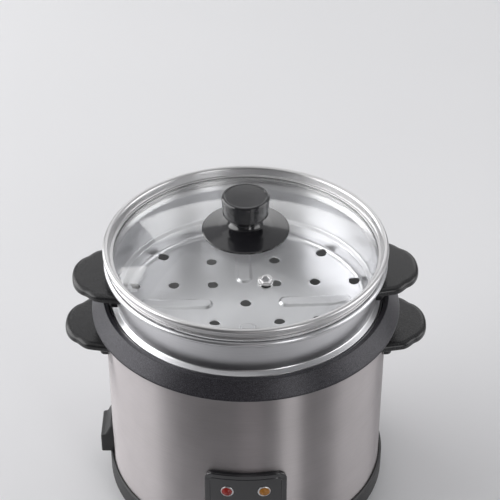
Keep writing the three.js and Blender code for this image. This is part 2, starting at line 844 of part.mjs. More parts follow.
/** The lid's rolled ring: a channel round the glass, a seat on the steamer's bead and the bead on top. */
function lidRing() {
  const seat = STEAMER_BEAD.z + STEAMER_BEAD.tube + GAP;
  const skirt = 111;
  const channel = GLASS.edge + GAP;
  return turned([
    [107.6, seat - 3.1],
    [skirt, seat - 3.1],
    [skirt, seat],
    [114.4, seat],
    [114.4, seat + 1],
    [113, seat + 1.6],
    [113, 238.8],
    ...arc(LID_BEAD.radius, LID_BEAD.z, LID_BEAD.tube, -80, 170, 6),
    [110.9, GLASS.footTop + 1.2],
    [108.6, GLASS.footTop + 1.2],
    [108.6, GLASS.footTop + 0.4],
    [channel, GLASS.footTop + 0.4],
    [channel, 230.9],
    [107.6, 230.9],
  ]);
}

function knobBase() {
  const { discRadius, neck, baseTop, bore } = KNOB;
  return turned(
    [
      [bore, GLASS.apex + GAP],
      [18, 256.8],
      [discRadius - 0.8, 255.5],
      [discRadius, 256.1],
      [discRadius, 257],
      [discRadius - 0.8, 257.5],
      [22, 259.8],
      [13.6, 262],
      [neck, 265],
      [neck, 268.5],
      [neck + 1.2, baseTop],
      [bore, baseTop],
    ],
    MEDIUM,
  );
}

function knobGrip() {
  const { baseTop, gripTop, gripRadius, bore } = KNOB;
  const bottom = baseTop + GAP;
  return turned(
    [
      [bore, bottom],
      [gripRadius - 1.8, bottom],
      [gripRadius - 0.9, bottom + 0.8],
      [gripRadius, gripTop - 2.2],
      [gripRadius, gripTop - 0.9],
      [gripRadius - 0.9, gripTop],
      [0, gripTop],
      [0, gripTop - 5],
      [bore, gripTop - 5],
    ],
    MEDIUM,
  );
}

function knobWasher() {
  const top = GLASS.apex - GLASS.thickness - GAP;
  return turned([[3, top - 1.4], [9, top - 1.4], [9, top - 0.3], [3, top]], 16);
}

function knobScrew() {
  const seat = GLASS.apex - GLASS.thickness - 2 * GAP - 1.4;
  return panScrew(5, 2.8, 2.4, 30).translate(0, 0, seat);
}

/** The rolled steam eyelet, made about Z with the glass face at z = 0. */
function ventEyelet() {
  const { flange, outer, inner } = VENT;
  const under = -GLASS.thickness - GAP;
  const eyelet = turned(
    [
      [inner, under - 0.9],
      [flange, under - 0.9],
      [flange, under],
      [outer, under],
      [outer, 0.25],
      [flange, 0.25],
      [flange, 0.8],
      [flange - 1, 1.3],
      [inner, 0.9],
    ],
    16,
  );
  return placeAtVent(eyelet);
}

// ---- assembly ----

function assembleDrum() {
  const drum = new THREE.Group();
  piece(drum, "outer_shell", outerShell(), FINISH.brushedSteel);
  piece(drum, "rim_ring", rimRing(), FINISH.metallicPlastic);
  piece(drum, "inner_liner", innerLiner(), FINISH.satinAluminium);
  piece(drum, "keep_warm_band", keepWarmBand(), FINISH.mica);
  piece(drum, "base_skirt", baseSkirt(), FINISH.blackPlastic);
  piece(drum, "base_plate", basePlate(), FINISH.plainSteel);
  roundTheAxis(FOOT.count, FOOT.firstAngle).forEach((angle, i) => {
    piece(drum, `foot_${i + 1}`, foot(), FINISH.rubber).position.set(...onRing(FOOT.ring, angle), 0);
  });
  roundTheAxis(BASE_SCREW.count, BASE_SCREW.firstAngle).forEach((angle, i) => {
    const blank = panScrew(4, 2.2, BASE_SCREW.shank, 7);
    const screw = piece(drum, `base_screw_${i + 1}`, blank, FINISH.plainSteel);
    screw.position.set(...onRing(BASE_SCREW.ring, angle), BASE.bottom - GAP);
  });
  return drum;
}

function assembleHeater() {
  const heater = new THREE.Group();
  piece(heater, "heating_plate", heatingPlate(), FINISH.castAluminium);
  piece(heater, "heating_element", heatingElement(), FINISH.plainSteel);
  roundTheAxis(STANDOFF.count, Math.PI / 6).forEach((angle, i) => {
    const post = piece(heater, `plate_standoff_${i + 1}`, plateStandoff(), FINISH.ceramic);
    post.position.set(...onRing(STANDOFF.ring, angle), 0);
  });
  piece(heater, "sensor_housing", sensorHousing(), FINISH.plainSteel);
  piece(heater, "sensor_cap", sensorCap(), FINISH.satinAluminium);
  piece(heater, "sensor_spring", sensorSpring(), FINISH.plainSteel);
  piece(heater, "magnet_armature", magnetArmature(), FINISH.plainSteel);
  piece(heater, "thermal_fuse", thermalFuse(), FINISH.ceramic);
  return heater;
}

function assembleSwitchgear() {
  const gear = new THREE.Group();
  piece(gear, "link_arm", linkArm(), FINISH.plainSteel);
  piece(gear, "lever_bracket", leverBracket(), FINISH.plainSteel);
  piece(gear, "lever_pivot_pin", pivotPin(), FINISH.polishedSteel);
  piece(gear, "cook_lever", cookLever(), FINISH.glossPlastic);
  piece(gear, "micro_switch", microSwitch(), FINISH.blackPlastic);
  piece(gear, "terminal_block", terminalBlock(), FINISH.ceramic);
  piece(gear, "control_panel", controlPanel(), FINISH.glossPlastic);
  piece(gear, "cook_lamp", lampLens(), FINISH.redLens).position.set(-LAMP.offset, 0, LAMP.z);
  piece(gear, "warm_lamp", lampLens(), FINISH.amberLens).position.set(LAMP.offset, 0, LAMP.z);
  piece(gear, "inlet_housing", inletHousing(), FINISH.blackPlastic);
  inletPinSpots().forEach(([y, z], i) => {
    const pin = rodAlongX(INLET_PIN.radius, -INLET_PIN.tip, -INLET_PIN.tail, y, z);
    piece(gear, `inlet_pin_${i + 1}`, pin, FINISH.brass);
  });
  return gear;
}

function assembleBodyHandles() {
  const handles = new THREE.Group();
  [["right", 0], ["left", Math.PI]].forEach(([side, turn]) => {
    const mount = new THREE.Group();
    piece(mount, `body_handle_${side}`, bodyHandle(), FINISH.phenolic);
    [-1, 1].forEach((end, i) => {
      const name = `body_handle_screw_${side}_${i + 1}`;
      const screw = piece(mount, name, bodyHandleScrew(), FINISH.plainSteel);
      screw.position.set(0, end * BODY_HANDLE.screwOffset, -BODY_HANDLE.screwDrop);
    });
    mount.position.z = BODY_HANDLE.top;
    mount.rotation.z = turn;
    handles.add(mount);
  });
  return handles;
}

/** The steamer, set down a little round from the drum's handles. */
function assembleSteamer() {
  const steamer = new THREE.Group();
  piece(steamer, "steamer_basket", steamerBasket(), FINISH.satinAluminium);
  [["right", 0], ["left", Math.PI]].forEach(([side, turn]) => {
    const mount = new THREE.Group();
    piece(mount, `steamer_handle_${side}`, steamerHandle(), FINISH.phenolic);
    piece(mount, `steamer_bracket_${side}`, steamerBracket(), FINISH.plainSteel);
    piece(mount, `steamer_handle_screw_${side}`, steamerHandleScrew(), FINISH.plainSteel);
    mount.rotation.z = turn;
    steamer.add(mount);
  });
  steamer.rotation.z = STEAMER.turn;
  return steamer;
}

function assembleLid() {
  const lid = new THREE.Group();
  piece(lid, "lid_glass", lidGlass(), FINISH.glass);
  piece(lid, "lid_ring", lidRing(), FINISH.polishedSteel);
  piece(lid, "knob_base", knobBase(), FINISH.glossPlastic);
  piece(lid, "knob_grip", knobGrip(), FINISH.glossPlastic);
  piece(lid, "knob_washer", knobWasher(), FINISH.silicone);
  piece(lid, "knob_screw", knobScrew(), FINISH.plainSteel);
  piece(lid, "vent_eyelet", ventEyelet(), FINISH.polishedSteel);
  return lid;
}

function assembleCooker() {
  const cooker = new THREE.Group();
  cooker.name = "rice_cooker";
  cooker.add(assembleDrum(), assembleHeater(), assembleSwitchgear(), assembleBodyHandles());
  piece(cooker, "inner_pot", innerPot(), FINISH.satinAluminium);
  cooker.add(assembleSteamer(), assembleLid());
  return cooker;
}

const group = assembleCooker();
export default group;
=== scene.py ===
"""A drum rice cooker with a steamer basket and a glass lid, dressed for the studio.

Sizes inside the classes are millimetres. Meshes are drawn in millimetres and shown in metres,
with +Z up and the front of the cooker towards -Y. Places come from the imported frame's boxes.
"""

import logging
import math
from collections.abc import Callable, Iterable, Sequence
from dataclasses import dataclass, field
from enum import Enum

import bmesh
import bpy
from mathutils import Matrix, Vector
from mathutils.geometry import delaunay_2d_cdt


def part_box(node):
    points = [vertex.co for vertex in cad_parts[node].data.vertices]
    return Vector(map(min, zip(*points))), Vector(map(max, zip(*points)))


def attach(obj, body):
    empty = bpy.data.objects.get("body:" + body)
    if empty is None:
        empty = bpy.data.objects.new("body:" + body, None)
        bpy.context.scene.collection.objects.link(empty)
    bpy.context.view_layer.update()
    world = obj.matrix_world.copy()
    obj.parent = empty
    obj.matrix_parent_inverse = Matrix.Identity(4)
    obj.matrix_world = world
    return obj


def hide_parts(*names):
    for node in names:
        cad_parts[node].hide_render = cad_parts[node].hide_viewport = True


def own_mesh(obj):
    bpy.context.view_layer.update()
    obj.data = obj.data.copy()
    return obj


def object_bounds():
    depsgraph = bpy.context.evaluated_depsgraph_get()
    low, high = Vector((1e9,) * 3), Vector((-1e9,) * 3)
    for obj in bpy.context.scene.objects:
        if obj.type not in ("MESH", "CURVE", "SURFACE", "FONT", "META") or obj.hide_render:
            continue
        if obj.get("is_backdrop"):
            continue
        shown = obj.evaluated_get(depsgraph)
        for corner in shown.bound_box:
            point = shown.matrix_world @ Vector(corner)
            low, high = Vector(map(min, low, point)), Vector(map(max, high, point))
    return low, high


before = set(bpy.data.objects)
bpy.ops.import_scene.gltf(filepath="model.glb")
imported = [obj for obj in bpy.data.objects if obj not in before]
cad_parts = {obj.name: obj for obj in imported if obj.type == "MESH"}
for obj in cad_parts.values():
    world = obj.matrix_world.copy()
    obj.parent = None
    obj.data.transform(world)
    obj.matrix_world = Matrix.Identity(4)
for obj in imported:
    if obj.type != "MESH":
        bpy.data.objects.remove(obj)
cad_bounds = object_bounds()

LOG = logging.getLogger("rice_cooker")

Piece = bpy.types.Object
Socket = bpy.types.NodeSocket
Point = tuple[float, float]
Colour = tuple[float, float, float]
Surface = Callable[[float, float], float]

MM = 0.001
UP = Vector((0, 0, 1))
ON_AXIS = 1e-6

# How finely round shapes are drawn.
FACETS = 180
FILLET_STEPS = 5
EDGE_STEPS = 6
SHARP = 38.0
STRAIGHT = math.radians(88)
MOST_OF_HALF = 0.48

# Sizes in millimetres that several sub-assemblies share.
BROKEN_EDGE = 0.25
LAMP_BORE = 3.8
THREAD_PITCH = 0.7
THREAD_DEPTH = 0.22
CROSS_HALF = 0.35


# ---- names shared with the record ----


class Slot(Enum):
    """The record's material slots."""

    BRUSHED_STEEL = "brushed_steel"
    RIM_PLASTIC = "rim_plastic"
    SATIN_ALUMINIUM = "satin_aluminium"
    POT_ALUMINIUM = "pot_aluminium"
    CAST_ALUMINIUM = "cast_aluminium"
    PLAIN_STEEL = "plain_steel"
    POLISHED_STEEL = "polished_steel"
    BLACK_PLASTIC = "black_plastic"
    GLOSS_BLACK = "gloss_black"
    PHENOLIC = "phenolic"
    FOOT_RUBBER = "foot_rubber"
    SILICONE = "silicone"
    LID_GLASS = "lid_glass"
    MICA_BAND = "mica_band"
    CERAMIC_WHITE = "ceramic_white"
    BRASS_PIN = "brass_pin"
    RED_LENS = "red_lens"
    AMBER_LENS = "amber_lens"


class Body(Enum):
    """The bodies that move on their own."""

    COOKER = "cooker"
    SENSOR = "sensor"
    ARMATURE = "armature"
    LEVER = "lever"
    POT = "pot"
    STEAMER = "steamer"
    LID = "lid"


class Grain(Enum):
    """Which way the marks of making run in a metal."""

    ROUND_THE_AXIS = "round the axis"
    EVEN = "even"


LAMPS = ("cook_lamp", "warm_lamp")
FEET = tuple(f"foot_{i}" for i in (1, 2, 3, 4))
BASE_SCREWS = tuple(f"base_screw_{i}" for i in (1, 2, 3))
INLET_PINS = tuple(f"inlet_pin_{i}" for i in (1, 2, 3))
SIDES = (("right", 0.0), ("left", 180.0))


# ---- finishes ----


class Graph:
    """The nodes of one material, wired step by step."""

    def __init__(self, name: str) -> None:
        """Starts a material that holds only its shader.

        Args:
            name: The material's name.
        """
        self.material = bpy.data.materials.new(name)
        self.material.use_nodes = True
        self.tree = self.material.node_tree
        self.shader = self.tree.nodes["Principled BSDF"]
        self.place = self.node("ShaderNodeTexCoord", {}).outputs["Object"]

    def node(self, kind: str, inputs: dict, **settings: object) -> bpy.types.Node:
        """Adds a node.

        Args:
            kind: The node's type.
            inputs: Socket name or number to a value, or to the output that feeds it.
            settings: Properties of the node itself.

        Returns:
            The new node.
        """
        made = self.tree.nodes.new(kind)
        for key, value in settings.items():
            setattr(made, key, value)
        for key, value in inputs.items():
            if isinstance(value, Socket):
                self.tree.links.new(value, made.inputs[key])
            else:
                made.inputs[key].default_value = value
        return made

    def turned_place(self) -> Socket:
        """The place as distance from the axis and height, with a slow drift round the axis.

        Returns:
            The place as a vector output.
        """
        parts = self.node("ShaderNodeSeparateXYZ", {0: self.place}).outputs
        flat = self.node("ShaderNodeCombineXYZ", {0: parts[0], 1: parts[1]}).outputs[0]
        away = self.node("ShaderNodeVectorMath", {0: flat}, operation="LENGTH").outputs["Value"]
        drift = self.noise(self.place, 18.0, detail=1.0)
        slow = self.node("ShaderNodeMath", {0: drift, 1: 0.0012}, operation="MULTIPLY").outputs[0]
        return self.node("ShaderNodeCombineXYZ", {0: away, 1: slow, 2: parts[2]}).outputs[0]

    def noise(
        self, vector: Socket, scale: float, detail: float, roughness: float = 0.55
    ) -> Socket:
        """A cloud of noise from 0 to 1 at a scale in turns per metre."""
        inputs = {"Vector": vector, "Scale": scale, "Detail": detail, "Roughness": roughness}
        return self.node("ShaderNodeTexNoise", inputs).outputs["Fac"]

    def flecks(self, scale: float, share: float) -> Socket:
        """Small round flecks, 1 at their middle.

        Args:
            scale: Cells per metre.
            share: Radius of a fleck as a share of its cell.

        Returns:
            The flecks' strength.
        """
        cells = self.node("ShaderNodeTexVoronoi", {"Vector": self.place, "Scale": scale})
        return self.span(cells.outputs["Distance"], share, 0.0, 0.0, 1.0)

    def span(
        self, value: Socket, low: float, high: float, to_low: float, to_high: float
    ) -> Socket:
        """Maps a value from one span onto another and stops at its ends.

        Args:
            value: The value.
            low: Where its span starts.
            high: Where its span ends.
            to_low: What the start becomes.
            to_high: What the end becomes.

        Returns:
            The mapped output.
        """
        names = ("Value", "From Min", "From Max", "To Min", "To Max")
        inputs = dict(zip(names, (value, low, high, to_low, to_high)))
        return self.node("ShaderNodeMapRange", inputs).outputs["Result"]

    def blend(
        self, factor: Socket, first: Sequence[float], second: Sequence[float]
    ) -> Socket:
        """A colour between two, by a factor that varies over the piece.

        Args:
            factor: What to blend by, from 0 to 1.
            first: The colour at 0.
            second: The colour at 1.

        Returns:
            The colour output.
        """
        ramp = self.node("ShaderNodeValToRGB", {"Fac": factor})
        ramp.color_ramp.elements[0].color = (*first, 1.0)
        ramp.color_ramp.elements[1].color = (*second, 1.0)
        return ramp.outputs["Color"]

    def add(
        self, first: Socket, second: Socket, share: float
    ) -> Socket:
        """The first value plus a share of the second."""
        inputs = {0: second, 1: share, 2: first}
        return self.node("ShaderNodeMath", inputs, operation="MULTIPLY_ADD").outputs[0]

    def relief(self, height: Socket, depth: float, strength: float = 1.0) -> None:
        """Raises the surface by a height from 0 to 1 times a depth in metres."""
        inputs = {"Height": height, "Distance": depth, "Strength": strength}
        self.set("Normal", self.node("ShaderNodeBump", inputs).outputs["Normal"])

    def set(self, name: str, value: object) -> None:
        """Sets one of the shader's sockets, or feeds it from an output.

        Args:
            name: The socket's name.
            value: A constant, or the output that feeds it.
        """
        if isinstance(value, Socket):
            self.tree.links.new(value, self.shader.inputs[name])
        else:
            self.shader.inputs[name].default_value = value


@dataclass(frozen=True)
class MetalFinish:
    """A bare metal with the fine lines or the skin of its making."""

    light: Colour
    dark: Colour
    roughness: tuple[float, float]
    grain: Grain = Grain.EVEN
    lines: float = 2200.0
    depth: float = 0.00001
    stretch: float = 0.0
    stretch_turn: float = 0.25
    smears: float = 22.0
    smear_share: float = 0.6
    wear: tuple[float, float] = (0.45, 1.15)

    def material(self, name: str) -> bpy.types.Material:
        """Builds the metal.

        Args:
            name: The material's name.

        Returns:
            The material.
        """
        graph = Graph(name)
        graph.set("Metallic", 1.0)
        if self.grain is Grain.ROUND_THE_AXIS:
            marks = graph.noise(graph.turned_place(), self.lines, detail=4.0, roughness=0.7)
        else:
            marks = graph.noise(graph.place, self.lines, detail=5.0, roughness=0.65)
        smear = graph.noise(graph.place, self.smears, detail=2.0)
        worn = graph.add(marks, smear, self.smear_share)
        tone = graph.span(worn, *self.wear, 0.0, 1.0)
        graph.set("Base Color", graph.blend(tone, self.dark, self.light))
        graph.set("Roughness", graph.span(worn, *self.wear, *reversed(self.roughness)))
        graph.relief(marks, self.depth)
        if self.stretch:
            graph.set("Anisotropic", self.stretch)
            tangent = graph.node("ShaderNodeTangent", {}, direction_type="RADIAL", axis="Z")
            graph.set("Tangent", tangent.outputs[0])
            graph.set("Anisotropic Rotation", self.stretch_turn)
        return graph.material


@dataclass(frozen=True)
class MouldingFinish:
    """A moulded plastic, rubber or ceramic with a fine skin and small flecks."""

    colour: Colour
    fleck: Colour
    roughness: tuple[float, float]
    skin: float = 1400.0
    depth: float = 0.00004
    fleck_scale: float = 900.0
    fleck_share: float = 0.25
    metallic: float = 0.0
    coat: float = 0.0
    coat_roughness: float = 0.08
    clouds: float = 35.0
    cloud_share: float = 0.8

    def material(self, name: str) -> bpy.types.Material:
        """Builds the moulding's material.

        Args:
            name: The material's name.

        Returns:
            The material.
        """
        graph = Graph(name)
        graph.set("Metallic", self.metallic)
        skin = graph.noise(graph.place, self.skin, detail=4.0, roughness=0.6)
        cloud = graph.noise(graph.place, self.clouds, detail=2.0)
        flecks = graph.flecks(self.fleck_scale, self.fleck_share)
        mixed = graph.add(graph.span(skin, 0.35, 0.75, 0.0, 0.5), flecks, 0.6)
        graph.set("Base Color", graph.blend(mixed, self.colour, self.fleck))
        worn = graph.add(skin, cloud, self.cloud_share)
        graph.set("Roughness", graph.span(worn, 0.6, 1.2, *self.roughness))
        graph.relief(skin, self.depth)
        graph.set("Coat Weight", self.coat)
        graph.set("Coat Roughness", self.coat_roughness)
        return graph.material


@dataclass(frozen=True)
class GlassFinish:
    """Clear tempered glass with the faint waviness of its bending."""

    tint: Colour = (0.985, 0.992, 0.99)
    bending: float = 1.5
    waves: float = 26.0
    depth: float = 0.00004
    haze: float = 0.012

    def material(self, name: str) -> bpy.types.Material:
        """Builds the glass.

        Args:
            name: The material's name.

        Returns:
            The material.
        """
        graph = Graph(name)
        graph.set("Base Color", (*self.tint, 1.0))
        graph.set("Transmission Weight", 1.0)
        graph.set("IOR", self.bending)
        smear = graph.noise(graph.place, self.waves, detail=2.0)
        graph.set("Roughness", graph.span(smear, 0.4, 0.75, 0.0, self.haze))
        graph.relief(smear, self.depth, 0.3)
        return graph.material


@dataclass(frozen=True)
class LensFinish:
    """A coloured indicator lens with moulded rings that spread its light."""

    colour: Colour
    shade: float = 0.45
    clearness: float = 0.35
    clouds: float = 500.0
    rings: float = 900.0
    depth: float = 0.0001

    def material(self, name: str) -> bpy.types.Material:
        """Builds the lens.

        Args:
            name: The material's name.

        Returns:
            The material.
        """
        graph = Graph(name)
        deep = tuple(channel * self.shade for channel in self.colour)
        cloud = graph.noise(graph.place, self.clouds, detail=2.0)
        graph.set("Base Color", graph.blend(cloud, deep, self.colour))
        graph.set("Transmission Weight", self.clearness)
        graph.set("Roughness", graph.span(cloud, 0.3, 0.8, 0.06, 0.2))
        inputs = {"Vector": graph.place, "Scale": self.rings, "Distortion": 0.0}
        waves = graph.node("ShaderNodeTexWave", inputs, bands_direction="Z")
        graph.relief(waves.outputs["Fac"], self.depth, 0.5)
        return graph.material


Finish = MetalFinish | MouldingFinish | GlassFinish | LensFinish

FINISHES: dict[Slot, Finish] = {
    Slot.BRUSHED_STEEL: MetalFinish(
        (0.52, 0.49, 0.495), (0.40, 0.375, 0.38), (0.34, 0.42), Grain.ROUND_THE_AXIS,
        lines=5200.0, stretch=1.0,
    ),
    Slot.RIM_PLASTIC: MouldingFinish(
        (0.010, 0.0095, 0.0125), (0.17, 0.165, 0.19), (0.30, 0.40), skin=1500.0, depth=0.00006,
        fleck_scale=1300.0, fleck_share=0.34, metallic=0.35,
    ),
    Slot.SATIN_ALUMINIUM: MetalFinish(
        (0.80, 0.80, 0.815), (0.70, 0.70, 0.72), (0.26, 0.36), Grain.ROUND_THE_AXIS,
        lines=2600.0, stretch=0.35,
    ),
    Slot.POT_ALUMINIUM: MetalFinish(
        (0.72, 0.72, 0.735), (0.60, 0.60, 0.61), (0.34, 0.46), Grain.ROUND_THE_AXIS,
        lines=1800.0, stretch=0.4,
    ),
    Slot.CAST_ALUMINIUM: MetalFinish(
        (0.58, 0.58, 0.585), (0.40, 0.40, 0.405), (0.42, 0.62), lines=700.0, depth=0.00012
    ),
    Slot.PLAIN_STEEL: MetalFinish(
        (0.56, 0.56, 0.57), (0.40, 0.40, 0.41), (0.32, 0.48), lines=1300.0
    ),
    Slot.POLISHED_STEEL: MetalFinish(
        (0.74, 0.735, 0.74), (0.64, 0.635, 0.64), (0.28, 0.36), Grain.ROUND_THE_AXIS,
        lines=3600.0, depth=0.000003,
    ),
    Slot.BLACK_PLASTIC: MouldingFinish(
        (0.022, 0.022, 0.023), (0.05, 0.05, 0.052), (0.42, 0.58)
    ),
    Slot.GLOSS_BLACK: MouldingFinish(
        (0.012, 0.012, 0.014), (0.022, 0.022, 0.025), (0.10, 0.16), skin=60.0, depth=0.00003,
        fleck_scale=500.0, fleck_share=0.15, coat=0.6,
    ),
    Slot.PHENOLIC: MouldingFinish(
        (0.016, 0.016, 0.017), (0.04, 0.04, 0.042), (0.22, 0.30), skin=1100.0, depth=0.00002,
        fleck_scale=1500.0,
    ),
    Slot.FOOT_RUBBER: MouldingFinish(
        (0.02, 0.02, 0.021), (0.035, 0.034, 0.034), (0.75, 0.92), skin=800.0, depth=0.00012
    ),
    Slot.SILICONE: MouldingFinish(
        (0.68, 0.68, 0.65), (0.76, 0.76, 0.74), (0.55, 0.7), skin=600.0
    ),
    Slot.LID_GLASS: GlassFinish(),
    Slot.MICA_BAND: MouldingFinish(
        (0.34, 0.22, 0.10), (0.62, 0.48, 0.28), (0.45, 0.7), skin=300.0, depth=0.0001,
        fleck_scale=260.0, fleck_share=0.5,
    ),
    Slot.CERAMIC_WHITE: MouldingFinish(
        (0.72, 0.69, 0.62), (0.80, 0.78, 0.74), (0.5, 0.7), skin=900.0
    ),
    Slot.BRASS_PIN: MetalFinish(
        (0.78, 0.58, 0.26), (0.62, 0.43, 0.17), (0.2, 0.34), lines=1500.0
    ),
    Slot.RED_LENS: LensFinish((0.62, 0.03, 0.02)),
    Slot.AMBER_LENS: LensFinish((0.80, 0.32, 0.03)),
}


class Palette:
    """Hands out one material for each slot."""

    def __init__(self) -> None:
        """Starts with nothing made."""
        self.made: dict[Slot, bpy.types.Material] = {}

    def material(self, slot: Slot) -> bpy.types.Material:
        """The slot's material, built the first time it is asked for.

        Args:
            slot: The slot.

        Returns:
            The material.
        """
        if slot not in self.made:
            self.made[slot] = FINISHES[slot].material(slot.value)
        return self.made[slot]


# ---- outlines ----


def rounded(corners: Sequence[Sequence[float]], steps: int = FILLET_STEPS) -> list[Point]:
    """Rounds the corners of an outline.

    Args:
        corners: The corners in order as (x, y) or (x, y, fillet radius).
        steps: Segments of each fillet.

    Returns:
        The closed outline's points.
    """
    points: list[Point] = []
    for i, corner in enumerate(corners):
        here = Vector(corner[:2])
        fillet = corner[2] if len(corner) > 2 else 0.0
        back = Vector(corners[i - 1][:2]) - here
        ahead = Vector(corners[(i + 1) % len(corners)][:2]) - here
        shortest = min(back.length, ahead.length)
        if fillet == 0.0 or shortest < ON_AXIS or back.angle(ahead) / 2 > STRAIGHT:
            points.append(tuple(here))
            continue
        half = back.angle(ahead) / 2
        reach = min(fillet / math.tan(half), MOST_OF_HALF * shortest)
        middle_way = (back.normalized() + ahead.normalized()).normalized()
        centre = here + middle_way * (reach / math.cos(half))
        start = here + back.normalized() * reach - centre
        end = here + ahead.normalized() * reach - centre
        turn = math.atan2(start.cross(end), start.dot(end))
        for k in range(steps + 1):
            points.append(tuple(centre + Matrix.Rotation(turn * k / steps, 2) @ start))
    return points


def arc(centre: Point, radius: float, start: float, end: float, steps: int = 24) -> list[Point]:
    """Points along an arc between two angles in degrees.

    Args:
        centre: Its centre.
        radius: Its radius.
        start: Its first angle in degrees.
        end: Its last angle in degrees.
        steps: How many segments it has.

    Returns:
        The points.
    """
    turn = (end - start) / steps
    angles = [math.radians(start + turn * k) for k in range(steps + 1)]
    return [(centre[0] + radius * math.cos(a), centre[1] + radius * math.sin(a)) for a in angles]


def ring(radius: float, facets: int, centre: Point = (0.0, 0.0)) -> list[Point]:
    """The corners of a circle."""
    angles = [math.tau * k / facets for k in range(facets)]
    return [(centre[0] + radius * math.cos(a), centre[1] + radius * math.sin(a)) for a in angles]


def round_rectangle(
    half_x: float, half_y: float, corner: float, centre: Point = (0.0, 0.0)
) -> list[Point]:
    """A rectangle with round corners.

    Args:
        half_x: Half its width.
        half_y: Half its height.
        corner: Radius of its corners.
        centre: Its centre.

    Returns:
        The points.
    """
    shape = [(half_x, -half_y), (half_x, half_y), (-half_x, half_y), (-half_x, -half_y)]
    loop = rounded([(x, y, corner) for x, y in shape], 7)
    return [(x + centre[0], y + centre[1]) for x, y in loop]


def split(loop: Sequence[Point], step: float) -> list[Point]:
    """Adds points along a closed loop so that none of its edges is longer than a step.

    Args:
        loop: The loop's points.
        step: The longest edge allowed.

    Returns:
        The closed loop's points.
    """
    points: list[Point] = []
    for a, b in zip(loop, [*loop[1:], loop[0]]):
        count = max(math.ceil(math.dist(a, b) / step), 1)
        for k in range(count):
            points.append(tuple(p + (q - p) * k / count for p, q in zip(a, b)))
    return points


def inside_depth(x: float, y: float, half_x: float, half_y: float, corner: float) -> float:
    """How far a point lies inside a rectangle with round corners; negative outside.

    Args:
        x: The point's x.
        y: The point's y.
        half_x: Half the width.
        half_y: Half the height.
        corner: Radius of the corners.

    Returns:
        The depth.
    """
    over_x = abs(x) - (half_x - corner)
    over_y = abs(y) - (half_y - corner)
    outer = math.hypot(max(over_x, 0.0), max(over_y, 0.0))
    return corner - outer - min(max(over_x, over_y), 0.0)


def bezier(a: Point, b: Point, c: Point, d: Point, steps: int) -> list[Point]:
    """Points along a cubic curve, without its last one.

    Args:
        a: Where it starts.
        b: What it leaves towards.
        c: What it arrives from.
        d: Where it ends.
        steps: How many points to give.

    Returns:
        The points.
    """
    made: list[Point] = []
    for k in range(steps):
        t = k / steps
        s = 1 - t
        pulls = list(zip((s * s * s, 3 * s * s * t, 3 * s * t * t, t * t * t), (a, b, c, d)))
        made.append(tuple(sum(pull * p[axis] for pull, p in pulls) for axis in (0, 1)))
    return made


def spaced(line: Sequence[Point], count: int) -> list[Point]:
    """The same open line with evenly spaced points.

    Args:
        line: The line's points.
        count: How many points to give.

    Returns:
        The points.
    """
    lengths = [0.0]
    for p, q in zip(line, line[1:]):
        lengths.append(lengths[-1] + math.dist(p, q))
    made: list[Point] = []
    at = 0
    for k in range(count):
        want = lengths[-1] * k / (count - 1)
        while at < len(line) - 2 and lengths[at + 1] < want:
            at += 1
        t = min((want - lengths[at]) / max(lengths[at + 1] - lengths[at], ON_AXIS), 1.0)
        made.append(tuple(p + (q - p) * t for p, q in zip(line[at], line[at + 1])))
    return made


def spread(start: float, count: int) -> list[float]:
    """Evenly spaced angles all the way round, from a first one."""
    return [start + math.tau * k / count for k in range(count)]


class Opening:
    """A closed loop that is cut out of a sheet."""

    def __init__(self, points: list[Point]) -> None:
        """Keeps the loop and its box.

        Args:
            points: The loop's points.
        """
        self.points = points
        self.low = tuple(min(p[i] for p in points) for i in (0, 1))
        self.high = tuple(max(p[i] for p in points) for i in (0, 1))

    def holds(self, x: float, y: float) -> bool:
        """True if the point lies inside the loop.

        Args:
            x: The point's x.
            y: The point's y.

        Returns:
            True if it does.
        """
        if not (self.low[0] < x < self.high[0] and self.low[1] < y < self.high[1]):
            return False
        crossed = False
        for (x0, y0), (x1, y1) in zip(self.points, [*self.points[1:], self.points[0]]):
            if (y0 > y) != (y1 > y) and x < x0 + (x1 - x0) * (y - y0) / (y1 - y0):
                crossed = not crossed
        return crossed


# ---- meshes ----


